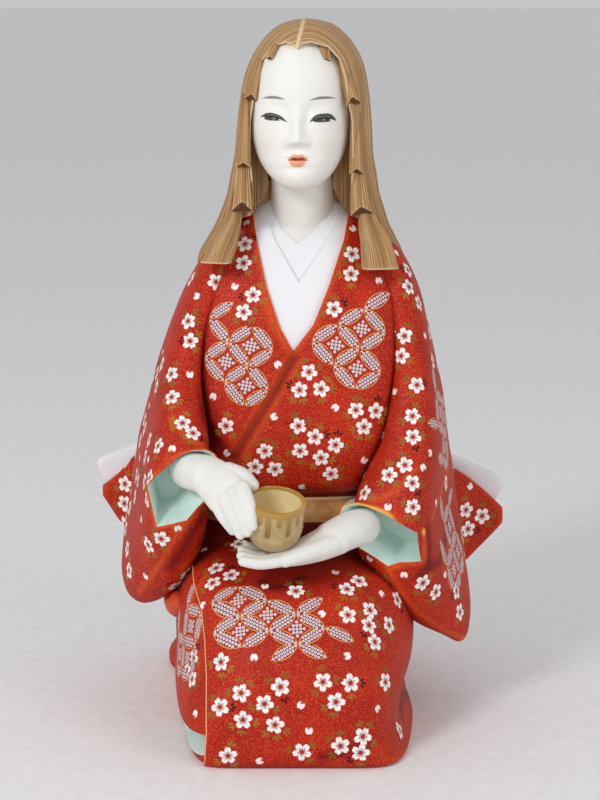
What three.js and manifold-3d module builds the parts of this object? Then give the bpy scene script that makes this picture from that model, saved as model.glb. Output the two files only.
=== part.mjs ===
// A painted clay doll of a kneeling lady in a flowered robe. A tea bowl rests on the palm of her left hand.
// Millimetres, +X to the doll's left hand, +Y to its back, +Z up.
// The origin is on the floor under the figure.
import * as THREE from "three";
import Module from "manifold-3d";
import { mergeVertices } from "three/addons/utils/BufferGeometryUtils.js";

// The figure is a free form, drawn at DRAWN_HEIGHT and made at HEIGHT.
const HEIGHT = 316;
const DRAWN_HEIGHT = 316;
const GROWTH = HEIGHT / DRAWN_HEIGHT;

// The tea bowl has sizes of its own.
const BOWL_RADIUS = 12.8;
const BOWL_HEIGHT = 24;
const BOWL_WALL = 1.7;
const BOWL_FLOOR = 2.6;
const FOOT_RADIUS = 5.6;
const FOOT_HEIGHT = 1.6;
const BOWL_LEAN_FORWARD = 16;
const BOWL_LEAN_SIDE = 6;
const CLEARANCE = 0.3;

// How far each layer of cloth stands out from the one under it.
const COLLAR_STEP = 1.5;
const OVERLAP_STEP = 1.2;
const ROBE_STEP = 1.8;
const PANEL_STEP = 2.2;
const MOUTH_DEPTH = 24;

const wasm = await Module();
wasm.setup();

// A closed solid of manifold-3d from points and triangles, with its faces turned out.
function solidOf(points, triangles) {
  let volume = 0;
  for (const [a, b, c] of triangles) {
    const [p, q, r] = [points[a], points[b], points[c]];
    volume +=
      p[0] * (q[1] * r[2] - q[2] * r[1]) +
      p[1] * (q[2] * r[0] - q[0] * r[2]) +
      p[2] * (q[0] * r[1] - q[1] * r[0]);
  }
  const facing = volume > 0 ? triangles : triangles.map(([a, b, c]) => [a, c, b]);
  return new wasm.Manifold(
    new wasm.Mesh({
      numProp: 3,
      vertProperties: new Float32Array(points.flat()),
      triVerts: new Uint32Array(facing.flat()),
    }),
  );
}

// A solid from one of the three.js geometries.
function solidFrom(geometry) {
  const bare = geometry.clone();
  bare.deleteAttribute("normal");
  bare.deleteAttribute("uv");
  const merged = mergeVertices(bare, 1e-4);
  const places = merged.attributes.position.array;
  const points = [];
  for (let i = 0; i < places.length; i += 3) points.push([places[i], places[i + 1], places[i + 2]]);
  const triangles = [];
  for (let i = 0; i < merged.index.count; i += 3)
    triangles.push([merged.index.array[i], merged.index.array[i + 1], merged.index.array[i + 2]]);
  return solidOf(points, triangles);
}

// The skin over a row of rings that have equal numbers of points, closed by a fan at each end.
function loft(rings) {
  const sides = rings[0].length;
  const points = rings.flat();
  const triangles = [];
  for (let i = 0; i + 1 < rings.length; i++)
    for (let j = 0; j < sides; j++) {
      const a = i * sides + j;
      const b = i * sides + ((j + 1) % sides);
      triangles.push([a, b, b + sides], [a, b + sides, a + sides]);
    }
  for (const [row, turned] of [[0, true], [rings.length - 1, false]]) {
    const middle = points.length;
    points.push([0, 1, 2].map((k) => rings[row].reduce((sum, p) => sum + p[k], 0) / sides));
    for (let j = 0; j < sides; j++) {
      const a = row * sides + j;
      const b = row * sides + ((j + 1) % sides);
      triangles.push(turned ? [middle, b, a] : [middle, a, b]);
    }
  }
  return solidOf(points, triangles);
}

// A row of a table at a place between its rows, on a smooth curve through all of them.
function between(rows, at) {
  const last = rows.length - 1;
  const i = Math.min(Math.floor(at), last - 1);
  const t = at - i;
  const [p, q, r, s] = [rows[Math.max(i - 1, 0)], rows[i], rows[i + 1], rows[Math.min(i + 2, last)]];
  return q.map((_, k) => {
    const from = (r[k] - p[k]) / 2;
    const to = (s[k] - q[k]) / 2;
    const rise = r[k] - q[k];
    return q[k] + from * t + (3 * rise - 2 * from - to) * t * t + (from + to - 2 * rise) * t * t * t;
  });
}

// The rows of a table, smoothed to so many steps between each two.
function smoothed(rows, steps) {
  const made = [];
  for (let n = 0; n <= (rows.length - 1) * steps; n++) made.push(between(rows, n / steps));
  return made;
}

// A unit ring: a circle at power 2, nearer a square above it and a diamond below it.
function unitRing(sides, power) {
  return Array.from({ length: sides }, (_, j) => {
    const angle = (2 * Math.PI * (j + 0.5)) / sides;
    const [c, s] = [Math.cos(angle), Math.sin(angle)];
    const k = (Math.abs(c) ** power + Math.abs(s) ** power) ** (-1 / power);
    return [c * k, s * k];
  });
}

// A level ring of the body: rows of height, left, right, front, back, where it is widest, power, and how
// much narrower it grows toward the front.
function bodyRing([z, left, right, front, back, widest, power, taper = 0], sides, grow = 0) {
  return unitRing(sides, power).map(([u, v]) => [
    (left + right) / 2 + ((right - left) / 2 + grow) * u * (v < 0 ? 1 - taper * v * v : 1),
    widest + (v < 0 ? widest - front + grow : back - widest + grow) * v,
    z,
  ]);
}

// A level ring of a sleeve: rows of height, centre, half length, half width, turn in degrees, and power.
function sleeveRing([z, x, y, long, short, turn, power], sides) {
  const [c, s] = [Math.cos((turn * Math.PI) / 180), Math.sin((turn * Math.PI) / 180)];
  return unitRing(sides, power).map(([u, v]) => [
    x + long * u * c - short * v * s,
    y + long * u * s + short * v * c,
    z,
  ]);
}

// An upright ring across the X axis: rows of x, lowest, highest, depth centre, and half thickness.
function wingRing([x, low, high, y, thick], sides, power) {
  const [middle, half] = [(low + high) / 2, (high - low) / 2];
  return unitRing(sides, power).map(([u, v]) => [x, y + thick * u, middle + half * v]);
}

// A limb, lock or band along stations of place, half width and half thickness. The width lies level where
// it can, turned about the limb by the last value, in degrees. A round end is drawn in by one smaller ring.
function limb(stations, steps, sides, power = 2, round = [true, true]) {
  const rows = smoothed(stations, steps);
  const span = [0, 1, 2].map((k) => rows[rows.length - 1][k] - rows[0][k]);
  const steep = Math.abs(span[2]) > 0.8 * Math.hypot(...span);
  const sections = rows.map(([x, y, z, wide, thick, turn], i) => {
    const before = rows[Math.max(i - 1, 0)];
    const after = rows[Math.min(i + 1, rows.length - 1)];
    const step = [0, 1, 2].map((k) => after[k] - before[k]);
    const along = new THREE.Vector3(...step).normalize();
    const level = new THREE.Vector3(steep ? 1 : 0, 0, steep ? 0 : 1);
    const lengthwise = along.clone().multiplyScalar(level.dot(along));
    const side = steep ? level.sub(lengthwise) : along.clone().cross(level);
    side.normalize();
    side.applyAxisAngle(along, (turn * Math.PI) / 180);
    return { centre: new THREE.Vector3(x, y, z), along, side, out: side.clone().cross(along), wide, thick };
  });
  const ring = (section, push, size) =>
    unitRing(sides, power).map(([u, v]) =>
      section.centre
        .clone()
        .addScaledVector(section.along, push)
        .addScaledVector(section.side, u * section.wide * size)
        .addScaledVector(section.out, v * section.thick * size)
        .toArray(),
    );
  const rings = sections.map((section) => ring(section, 0, 1));
  const [first, end] = [sections[0], sections[sections.length - 1]];
  if (round[0]) rings.unshift(ring(first, -0.75 * first.thick, 0.66));
  if (round[1]) rings.push(ring(end, 0.75 * end.thick, 0.66));
  return loft(rings);
}

// A prism along Y over an outline of [x, z] points.
function prism(outline, front, back) {
  return loft([outline.map(([x, z]) => [x, front, z]), outline.map(([x, z]) => [x, back, z])]);
}

const joined = (solids) => solids.reduce((all, next) => all.add(next));

// The skirt of the robe, spread over folded legs: height, left, right, front, back, widest, power, taper.
const SKIRT = [
  [0, -52.4, 46.6, -86, 84, 10, 10, 0.16],
  [5, -54.4, 48, -88.5, 87, 10, 10, 0.16],
  [10, -55.2, 46.6, -89, 88, 10, 9, 0.16],
  [14.8, -57, 44.6, -89, 88, 10, 7.5, 0.16],
  [23, -57.6, 45.6, -89, 87, 9, 5.6, 0.15],
  [34, -57, 49.6, -88, 85, 8, 4, 0.14],
  [48, -57, 50, -84, 80, 5, 3.1, 0.11],
  [60, -56.5, 48.5, -76, 74, 4, 2.8, 0.06],
  [67, -55, 46.5, -70, 70, 5, 2.7, 0.03],
  [73, -53, 44.5, -61, 66, 6, 2.6, 0],
  [79, -49.5, 42, -46, 62, 8, 2.5, 0],
  [84, -47, 40, -26, 58, 10, 2.5, 0],
  [88, -45, 38, -13, 55, 14, 2.5, 0],
  [98, -43, 36, -9, 50, 18, 2.5, 0],
];

// The roll of cloth along the right thigh: place, half width, half thickness, turn.
const THIGH_FOLD = [
  [-38, -47, 60, 3, 4, 0],
  [-50, -35, 57, 4, 6, 0],
  [-57, -12, 52.5, 5, 7, 0],
  [-57, 20, 50, 5, 7, 0],
  [-50, 46, 50, 4, 6, 0],
];

// The hem that trails on the floor behind the right knee, in the same columns as the skirt.
const TRAIN = [
  [0, -64, 44, 28, 87, 66, 3, 0.16],
  [5, -64.6, 43, 27, 88, 66, 3, 0.16],
  [9, -62, 40, 31, 86, 66, 3, 0.16],
];

// The body above the sash, in the same columns, up to the root of the neck.
const BODY = [
  [84, -45, 36, -10, 55, 18, 2.8],
  [93, -45, 36, -11, 51, 18, 2.8],
  [102, -45, 37, -13, 49, 17, 2.8],
  [107, -46, 39, -22, 48, 16, 3],
  [114, -47, 42, -26, 47, 14, 3.4],
  [128, -48, 45, -28, 46, 12, 4],
  [150, -49.5, 46, -26.5, 46, 12, 4.2],
  [175, -49, 47, -22, 47, 12, 4],
  [195, -46.5, 46, -17, 46, 12, 3.4],
  [208, -42, 42, -12, 43, 12, 2.8],
  [218, -35, 36, -8, 39, 12, 2.5],
  [226, -27, 29, -4, 34, 12, 2.3],
  [233, -20, 22, 0, 30, 12, 2.2],
  [238, -17, 19, 3, 27, 12, 2.1],
];

// The sleeves, from the tip of the hanging bag up to the shoulder.
const RIGHT_ARM_SLEEVE = [
  [50, -72, -6, 3, 2, 108, 2],
  [54, -71, -5, 14, 8, 108, 1.9],
  [62, -68, -4, 26, 13, 107, 2],
  [72, -65, -4, 35, 15, 105, 2.2],
  [84, -62.5, -5, 41, 15.5, 102, 2.8],
  [98, -60, -5, 45, 15.5, 99, 4],
  [112, -58.5, -6, 46, 15, 98, 4.5],
  [124, -57.5, -6, 46, 14, 98, 4.2],
  [133, -56.5, -4, 44, 13, 98, 3.6],
  [143, -56, -1, 37, 11.5, 98, 3.2],
  [158, -54.5, 3, 30, 10, 97, 2.9],
  [176, -50, 6, 25, 9, 96, 2.7],
  [193, -43.5, 8, 22, 9, 94, 2.5],
  [206, -36.5, 9, 18, 9, 92, 2.2],
  [216, -30, 10, 13, 8, 90, 2],
  [220, -28, 10, 6, 4, 90, 2],
];
const LEFT_ARM_SLEEVE = [
  [34, 73, -14, 3, 2, 72, 2],
  [38, 71, -12, 10, 6, 72, 1.9],
  [46, 65, -8, 24, 12.5, 72, 2],
  [56, 60, -6, 34, 16, 73, 2.1],
  [68, 55, -6, 41, 18, 74, 2.5],
  [80, 51, -6, 44, 19, 75, 3.4],
  [94, 48, -6, 45, 19, 76, 4.4],
  [107, 48.5, -5, 44, 18, 77, 4],
  [118, 50, -4, 40, 16, 79, 3.5],
  [130, 52, -2, 36, 13.5, 81, 3.2],
  [144, 52.5, 1, 32, 12, 82, 3],
  [161, 51.5, 4, 28, 10, 84, 2.8],
  [178, 49, 6, 24, 9, 85, 2.6],
  [194, 45, 8, 21, 9, 87, 2.4],
  [208, 38.5, 9, 17, 9, 88, 2.1],
  [217, 32, 10, 12, 8, 90, 2],
  [221, 30, 10, 6, 4, 90, 2],
];

// The corners of each sleeve's mouth, and where its hollow ends inside.
const RIGHT_MOUTH = [
  [-35.5, -52, 127], [-37.2, -52, 129.6], [-40.6, -52, 131.4], [-45.4, -51.5, 131.3],
  [-49.8, -51, 129.8], [-54.6, -50.5, 126.6], [-58.1, -50, 123.8], [-62.1, -50, 119.8],
  [-66.3, -50, 114.9], [-62.5, -50, 96.5], [-49.5, -50, 99.5], [-40.5, -51, 110],
];
const RIGHT_MOUTH_END = [-60, -10, 114];
const LEFT_MOUTH = [
  [16.8, -49, 102], [19.2, -49, 105.6], [24, -49, 106.6], [29, -49, 105.4], [38, -48.5, 101.5],
  [46, -48, 97.6], [53, -46.5, 93.9], [54.1, -46, 80.6], [44.8, -47, 80.4], [38.6, -48, 78.4],
  [25.8, -49, 86.9], [17, -49, 97],
];
const LEFT_MOUTH_END = [52, -10, 92];
const CUFF_DEPTH = 30;

// The wings of sleeve cloth laid over the stiff ends of the sash: x, lowest, highest, depth and half
// thickness.
const RIGHT_ARM_WING = [
  [-50, 58, 122, 32, 13],
  [-66, 62, 116.5, 38, 8.5],
  [-78, 67, 108.5, 44.5, 5.6],
  [-86, 74, 99.5, 48, 3.8],
  [-92, 82.6, 94, 49.6, 3.2],
  [-94.8, 86.8, 92, 50.4, 2.6],
];
const LEFT_ARM_WING = [
  [50, 44, 118, 32, 13],
  [66, 47, 106.5, 38, 8.5],
  [77, 53.5, 99.5, 44.5, 5.6],
  [86, 61.5, 92, 48, 3.8],
  [94, 69.4, 84.4, 49.8, 3.2],
  [97.6, 73.4, 80.8, 50.6, 2.6],
];

// The stiff white ends of the sash: a flat band that arches over the back.
const TIE_REACH = 94;
const TIE_RISE = 112.8;
const TIE_TILT = -0.052;
const TIE_DROOP = -0.0027;
const TIE_HALF_HEIGHT = 11;
const TIE_HALF_THICKNESS = 3.2;
const TIE_DEPTH = 51;
const KNOT = [
  [0, 54, 99, 10, 6, 0],
  [0, 56, 104, 12, 8, 0],
  [0, 56, 116, 11, 8, 0],
  [0, 54, 122, 12, 6, 0],
];

// The hair from its parting down to the shoulders: height, left, right, front, back, widest, power.
const HAIR = [
  [128, -36, 36, 22, 53.5, 38, 3],
  [129, -38, 38, 20, 55, 38, 3],
  [150, -39.5, 40, 14, 55, 36, 3],
  [175, -42, 43, 6, 55, 32, 3],
  [192, -45, 46.5, -2, 54.5, 26, 2.8],
  [206, -46.5, 47.4, -8, 53.5, 20, 2.5],
  [216, -41.6, 43.4, -12, 52, 16, 2.4],
  [222, -38.4, 40.4, -15, 50, 13, 2.3],
  [230, -35, 37.8, -19, 47, 10, 2.2],
  [237, -32.6, 35.6, -22, 44, 8, 2.2],
  [245, -31, 34.3, -25, 42, 6, 2.1],
  [255, -29, 32.6, -28, 41, 5, 2.1],
  [267, -27.9, 31.9, -30, 40, 4, 2.1],
  [279, -26.4, 30.8, -31, 39, 3, 2.1],
  [289, -24.4, 29.3, -30.5, 37.5, 3, 2.1],
  [297, -21.5, 27.2, -28.6, 35, 3, 2.1],
  [303, -18, 23.9, -25.6, 32, 3, 2.1],
  [308, -13.6, 19.6, -21.6, 28, 3, 2.1],
  [311.6, -9, 15, -17, 23.6, 3, 2.1],
  [314, -4, 10, -11.5, 18, 3, 2],
  [315.6, 0.8, 5.2, -2, 8, 3, 2],
];

// The outline of the opening in the hair round the face, from the front.
const FACE_OPENING = [
  [-1.4, 301.8], [-3.6, 303.6], [-6.5, 304.3], [-11.5, 302.5], [-16, 297], [-18.5, 289], [-20, 280],
  [-21.6, 270], [-21.6, 255], [-20.5, 240], [-20, 225], [-22, 200], [24, 200], [22, 225], [22.3, 240],
  [22.8, 255], [22.6, 270], [20.6, 280], [19.4, 289], [17, 297], [12, 302.5], [5, 304.5], [1, 303.8],
];

// The opening goes deeper below the chin, round the neck.
const FACE_BACK = 0;
const NECK_OPENING = [
  [-14.5, 246], [-13.6, 241], [-16.9, 233.6], [-21.5, 229], [-31, 225], [-34, 200], [34, 200],
  [31, 225], [22, 229], [19, 231.5], [14.2, 241], [15, 246],
];
const NECK_BACK = 7;

// The locks cut short in steps beside the face: place, half width, half thickness and turn.
const LOCKS = [
  [[-10.8, -20.6, 304, 1.2, 1, 0], [-12.2, -21.4, 300.5, 1.6, 1.2, 0],
   [-13.2, -22, 297.2, 1.4, 1.1, 0]],
  [[-17.6, -17, 297, 1.6, 2, 0], [-19.6, -18.5, 288, 2.2, 2.4, 0], [-21.6, -19, 279.6, 2.7, 2.4, 0]],
  [[-23.5, -15.6, 278, 2.2, 2.2, 0], [-24.3, -16.4, 262, 2.5, 2.4, 0], [-24.8, -17, 250.4, 3, 2.6, 0]],
  [[-25, -15, 250, 2.8, 2.4, 0], [-25.2, -16, 240, 3.5, 2.8, 0], [-25.4, -17, 231, 4.4, 3.2, 0]],
  [[-27.6, -12, 236, 2, 2, 0], [-28.8, -14, 228, 3, 3, 3],
   [-33, -16.5, 217.5, 5.4, 4, 10], [-37, -18, 208.6, 7.3, 4.6, 12]],
  [[10.2, -20.6, 303.6, 1.6, 1, 0], [10.9, -21.6, 300, 1.9, 1.2, 0], [11.4, -22.4, 296.4, 1.7, 1.1, 0]],
  [[18, -17, 297, 1.6, 2, 0], [20.6, -18.5, 287, 2.3, 2.4, 0], [22.8, -19, 277.8, 2.9, 2.6, 0]],
  [[24.2, -15.6, 276, 2.3, 2.2, 0], [24.6, -16.4, 260, 2.6, 2.4, 0], [24.8, -17, 247.4, 3, 2.6, 0]],
  [[25.4, -15, 247, 3, 2.6, 0], [26.2, -16, 238, 3.8, 3, 0], [27.2, -17, 229.6, 4.7, 3.4, 0]],
  [[28.5, -12, 236, 2.6, 2.6, 0], [29.8, -14.5, 227, 4, 3.2, -4],
   [33.4, -16.5, 216, 6.6, 4, -8], [35.4, -18, 206, 8, 4.8, -10]],
];

// The head: height, left, right, front, back, widest, power.
const HEAD = [
  [241.5, -5, 5, -25, -13, -19, 2],
  [243.5, -9.5, 9.5, -28, -6, -16, 2],
  [247, -13.8, 13.8, -29.3, 2, -12.5, 2],
  [251, -16.8, 16.8, -30, 9, -9.5, 2],
  [253.5, -18.2, 18.2, -30.2, 13, -8, 2.1],
  [256, -19.4, 19.4, -30.3, 16, -6.5, 2.1],
  [259, -20.5, 20.5, -30.4, 19, -5.2, 2.1],
  [262, -21.3, 21.3, -30.4, 21.5, -4.2, 2.2],
  [265, -21.9, 21.9, -30.3, 23, -3.3, 2.2],
  [269, -22.4, 22.4, -30.2, 24.5, -2.4, 2.2],
  [275, -22.8, 22.8, -30.4, 26, -1, 2.2],
  [284, -22.8, 22.8, -30.8, 27, 0, 2.1],
  [292, -21.6, 21.6, -29.6, 26, 0, 2.1],
  [299, -18.8, 18.8, -26, 23, 0, 2],
  [305, -14, 14, -20, 18, 0, 2],
  [310, -6, 6, -10, 9, 0, 2],
];
const NECK = [
  [1, 17, 206, 17, 15, 0],
  [1, 12, 222, 15.4, 14, 0],
  [1, 5, 238, 14, 13, 0],
  [0, 0, 254, 14, 14, 0],
];

// The edges of the collars, from the front: on the doll's right, at the point of the V, and on the left.
const COLLARS = [
  {
    step: 1,
    right: [[-13, 238], [-12.6, 231], [-8.5, 222]],
    point: [-1, 215.5],
    left: [[8, 222.5], [13.5, 231], [15, 238]],
  },
  {
    step: 2,
    right: [[-17.5, 240], [-15.5, 229], [-11, 217]],
    point: [-0.6, 199.5],
    left: [[10, 214], [16.5, 226], [19, 240]],
  },
];
const ROBE_EDGE = {
  right: [[-22.5, 238], [-21, 227], [-18.5, 213], [-14.8, 197], [-9, 180]],
  point: [-3.1, 169.3],
  left: [[6, 181], [13, 198], [19.5, 217], [22, 229], [23, 238]],
};

// The free edge of the left side of the robe, from the V down to the sash.
const OVERLAP_EDGE = [[-10.1, 157.5], [-14.4, 150], [-21.6, 138.5], [-29.5, 125.5], [-36, 112], [-39, 100]];

// The hands. Each finger runs from its knuckle to its tip, and each row is place, half width, half
// thickness and turn.
const RIGHT_FOREARM = [
  [-50, -8, 118, 8, 8, 0], [-50, -32, 119, 8, 8, 0], [-46.6, -46, 120.6, 8.4, 8.2, 0],
  [-41, -53, 120.8, 8.4, 7.8, 20],
];
const RIGHT_PALM = [
  [-46, -47, 120.7, 8.2, 7.8, 20], [-40.5, -53, 120.6, 8.8, 7.2, 35],
  [-34.8, -59.5, 117.8, 9.6, 5.8, 45], [-31, -64.6, 113.4, 9.2, 4.2, 48],
];
const RIGHT_FINGERS = [
  [[-24.6, -66, 118, 3.3, 3.2, 0], [-21.8, -71, 111.4, 3, 2.9, 0], [-20.2, -73.5, 103, 2.3, 2.3, 0]],
  [[-28.6, -67, 116, 3.2, 3, 0], [-25.2, -71.8, 108.2, 2.9, 2.7, 0],
   [-22.6, -73.6, 100.2, 2.2, 2.2, 0]],
  [[-32.6, -66.5, 113.6, 3.1, 2.9, 0], [-28.8, -71, 105.8, 2.8, 2.6, 0],
   [-25.4, -72, 98.6, 2.1, 2.1, 0]],
  [[-36.4, -64, 111.6, 2.9, 2.7, 0], [-33, -68.4, 105.8, 2.6, 2.4, 0], [-28.8, -70, 100, 2, 2, 0]],
  [[-31, -56.5, 123, 4.2, 4, 0], [-24.6, -58.5, 121.4, 3.6, 3.4, 0],
   [-20.2, -59.8, 117.6, 2.7, 2.7, 0]],
  [[-36, -57, 121, 5, 4, 0], [-29, -61, 119.6, 4.4, 4, 0], [-24.5, -63.5, 117.4, 3.2, 3, 0]],
];
const LEFT_FOREARM = [
  [27, -8, 92.5, 8, 8, 0], [27.3, -30, 94, 8, 8, 0], [27, -43, 95.4, 8.3, 8, 0],
  [22, -51.5, 95.6, 8.6, 7.8, 0], [14, -57.5, 93.4, 8.6, 7.2, 0],
];
const LEFT_PALM = [
  [16, -57, 93.6, 8.6, 7, -6], [7, -60.5, 90.4, 9.6, 5.6, -5], [-2, -62.5, 87.8, 10.4, 4, -3],
  [-11, -63.5, 86.4, 10, 3, -2],
];
const LEFT_FINGERS = [
  [[-8, -71, 86.8, 2.7, 2.5, 0], [-17, -72, 86, 2.7, 2.5, 0], [-24.3, -71.4, 87, 2.4, 2.3, 0]],
  [[-8, -66, 86.6, 2.7, 2.4, 0], [-18, -66.5, 86, 2.6, 2.4, 0], [-25.2, -66.2, 88, 2.3, 2.2, 0]],
  [[-8, -61, 86.6, 2.6, 2.3, 0], [-18, -61, 86.4, 2.5, 2.3, 0], [-25, -61, 89, 2.2, 2.1, 0]],
  [[-7, -56.5, 86.8, 2.4, 2.2, 0], [-15, -56.5, 87, 2.3, 2.2, 0], [-22.5, -56.5, 89.8, 2, 2, 0]],
  [[14, -63, 92.4, 4.8, 4.6, 0], [5, -68, 90.4, 4.3, 3.9, 0], [-6.5, -72.4, 87.4, 3.1, 2.9, 0]],
];

// Where the bowl's foot stands on the palm.
const BOWL_SEAT = [-12.2, -58.5, 89.3];

// One edge of the front panel of the skirt, from the front, from the waist down to the hem.
const PANEL_EDGE = [
  [-48, 90], [-48.5, 76], [-47, 70.5], [-43.2, 63], [-41.4, 52], [-40.4, 38], [-40.2, 16], [-41, 4],
  [-42, -4],
];

// The pocket under the rounded corner of the side panel, from the front, where the lining shows.
const POCKET = [[-62, 14.2], [-40.3, 14.2], [-40.3, 5], [-43.5, 4.2], [-48, 3], [-62, 2.6]];
const POCKET_BACK = -42;

function makeSkirt() {
  const side = loft(SKIRT.map((row) => bodyRing(row, 28))).subtract(prism(POCKET, -110, POCKET_BACK));
  const over = loft(SKIRT.map((row) => bodyRing(row, 28, PANEL_STEP)));
  const front = prism([...PANEL_EDGE, [80, -4], [80, 90]], -110, 10);
  const train = loft(TRAIN.map((row) => bodyRing(row, 20)));
  return joined([side, over.intersect(front), limb(THIGH_FOLD, 1, 12), train]);
}

function makeBody() {
  const layer = (grow) => loft(BODY.map((row) => bodyRing(row, 24, grow)));
  const wedge = ({ right, point, left }) => prism([...right, point, ...left, [0, 250]], -60, 8);
  const { point, left } = ROBE_EDGE;
  const overlap = prism([point, ...left, [60, 238], [60, 100], ...[...OVERLAP_EDGE].reverse()], -60, 12);
  const robe = layer(0).add(layer(OVERLAP_STEP).intersect(overlap)).subtract(wedge(ROBE_EDGE));
  const collars = COLLARS.map((collar) =>
    layer(-ROBE_STEP - COLLAR_STEP * (2 - collar.step)).subtract(wedge(collar)),
  );
  const skin = layer(-ROBE_STEP - COLLAR_STEP * 2);
  return joined([robe, ...collars, skin]);
}

// A sleeve, drawn out to the corners of its mouth and hollowed by a taper that runs in from them.
function makeSleeve(rows, mouth, end) {
  const sleeve = loft(rows.map((row) => sleeveRing(row, 20)));
  const middle = [0, 1, 2].map((k) => mouth.reduce((sum, p) => sum + p[k], 0) / mouth.length);
  const inward = new THREE.Vector3(...end).sub(new THREE.Vector3(...middle)).normalize().toArray();
  const at = (push, size) =>
    mouth.map((p) => p.map((value, k) => middle[k] + (value - middle[k]) * size + inward[k] * push));
  const cuff = loft([at(0, 1.06), at(CUFF_DEPTH, 0.86)]);
  return sleeve.add(cuff).subtract(loft([at(-9, 1), at(0, 1), at(MOUTH_DEPTH, 0.55)]));
}

function makeWing(rows) {
  return loft(rows.map((row) => wingRing(row, 12, 3.2)));
}

// The band behind the back, with a knot over its middle.
function makeTie() {
  const stations = [];
  const shares = [-1, -0.95, -0.75, -0.5, -0.25, 0, 0.25, 0.5, 0.75, 0.95, 1];
  for (const share of shares) {
    const x = share * TIE_REACH;
    const near = Math.min((1 - Math.abs(share)) / 0.05, 1);
    const size = 0.86 + 0.14 * Math.sqrt(1 - (1 - near) ** 2);
    const depth = TIE_DEPTH + 4 * share * share;
    const height = TIE_RISE + TIE_TILT * x + TIE_DROOP * x * x;
    stations.push([x, depth, height, TIE_HALF_HEIGHT * size, TIE_HALF_THICKNESS * size, 90]);
  }
  const band = limb(stations, 1, 12, 5, [false, false]);
  const knot = limb(KNOT, 1, 12, 3);
  return joined([band, knot]);
}

function makeHair() {
  const cap = loft(HAIR.map((row) => bodyRing(row, 28)));
  const locks = LOCKS.map((lock) => limb(lock, 1, 8, 4, [false, false]));
  const cut = prism(FACE_OPENING, -60, FACE_BACK).add(prism(NECK_OPENING, -60, NECK_BACK));
  return joined([cap.subtract(cut), ...locks]);
}

// The head is an egg, with a nose, lips and brow ridge raised on its front rings.
function makeHead() {
  const bump = (x, z, at, wide, high) => Math.exp(-((x / wide) ** 2) - ((z - at) / high) ** 2);
  const rings = HEAD.map((row) => {
    const [z] = row;
    return bodyRing(row, 28).map(([x, y]) => {
      const facing = Math.max(0, -(y - row[5]) / (row[5] - row[3])) ** 2;
      const nose = 5.2 * bump(x, z, 262.5, 2.9, 3.4) + 2.6 * bump(x, z, 269, 2.2, 6);
      const lips = 1.5 * bump(x, z, 255.3, 4.4, 1.6) + 0.8 * bump(x, z, 253, 3.4, 1.4);
      const chin = 1.2 * bump(x, z, 246.5, 6, 3);
      const sockets = -0.7 * (bump(x - 9.5, z, 272, 5, 4.5) + bump(x + 9.5, z, 272, 5, 4.5));
      return [x, y - facing * (nose + lips + chin + sockets), z];
    });
  });
  return joined([loft(rings), limb(NECK, 1, 16, 2, [false, false])]);
}

function makeHands() {
  const arms = [RIGHT_FOREARM, LEFT_FOREARM].map((arm) => limb(arm, 1, 12));
  const palms = [RIGHT_PALM, LEFT_PALM].map((palm) => limb(palm, 1, 10, 2.6));
  const fingers = [...RIGHT_FINGERS, ...LEFT_FINGERS].map((finger) => limb(finger, 1, 6));
  return joined([...arms, ...palms, ...fingers]);
}

// The sash round the waist, a band a little proud of the body.
function makeSash() {
  const rows = [[87, 0.9], [88, 1.6], [95, 2], [102.4, 1.6], [103.4, 0.9]];
  return loft(rows.map(([z, grow]) => bodyRing([z, -45, 36, -12, 50.5, 18, 2.8], 24, grow)));
}

// The profile of the bowl, up the outside and down the inside, kept so far out from the true one.
function bowlProfile(out) {
  const belly = [
    [0.5, 0.07],
    [0.7, 0.15],
    [0.87, 0.29],
    [0.965, 0.47],
    [1, 0.68],
    [0.995, 0.86],
    [0.975, 1],
  ];
  const outside = belly.map(([r, h]) => [r * BOWL_RADIUS + out, h * BOWL_HEIGHT]);
  const foot = [[0, -out], [FOOT_RADIUS + out, -out], [FOOT_RADIUS + out, FOOT_HEIGHT - out]];
  const top = BOWL_HEIGHT + out;
  if (out > 0) return [...foot, ...outside, [0.975 * BOWL_RADIUS + out, top], [0, top]];
  const deep = BOWL_HEIGHT - BOWL_FLOOR;
  const [, low] = belly[0];
  const inside = [...belly].reverse().map(([r, h]) => {
    const rise = (h - low) / (1 - low);
    return [r * BOWL_RADIUS - BOWL_WALL, BOWL_FLOOR + rise * deep];
  });
  return [...foot, ...outside, ...inside, [0, BOWL_FLOOR]];
}

function bowlGeometry(out) {
  const profile = bowlProfile(out).map(([r, h]) => new THREE.Vector2(r, h));
  return new THREE.LatheGeometry(profile, 24)
    .rotateX(Math.PI / 2)
    .rotateX((BOWL_LEAN_FORWARD * Math.PI) / 180)
    .rotateY((BOWL_LEAN_SIDE * Math.PI) / 180)
    .translate(...BOWL_SEAT.map((value) => value * GROWTH));
}

// The whole figure as one cast body, cut off flat at the floor and cut back from the bowl.
function makeFigure() {
  const whole = joined([
    makeSkirt(),
    makeSash(),
    makeBody(),
    makeSleeve(RIGHT_ARM_SLEEVE, RIGHT_MOUTH, RIGHT_MOUTH_END),
    makeSleeve(LEFT_ARM_SLEEVE, LEFT_MOUTH, LEFT_MOUTH_END),
    makeWing(RIGHT_ARM_WING),
    makeWing(LEFT_ARM_WING),
    makeTie(),
    makeHead(),
    makeHair(),
    makeHands(),
  ]);
  return whole.scale(GROWTH).subtract(solidFrom(bowlGeometry(CLEARANCE)));
}

function geometryOf(solid) {
  const mesh = solid.getMesh();
  const geometry = new THREE.BufferGeometry();
  geometry.setAttribute("position", new THREE.BufferAttribute(mesh.vertProperties, 3));
  geometry.setIndex(new THREE.BufferAttribute(mesh.triVerts, 1));
  geometry.computeVertexNormals();
  return geometry;
}

function named(name, geometry, material) {
  const mesh = new THREE.Mesh(geometry, material);
  mesh.name = name;
  return mesh;
}

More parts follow.
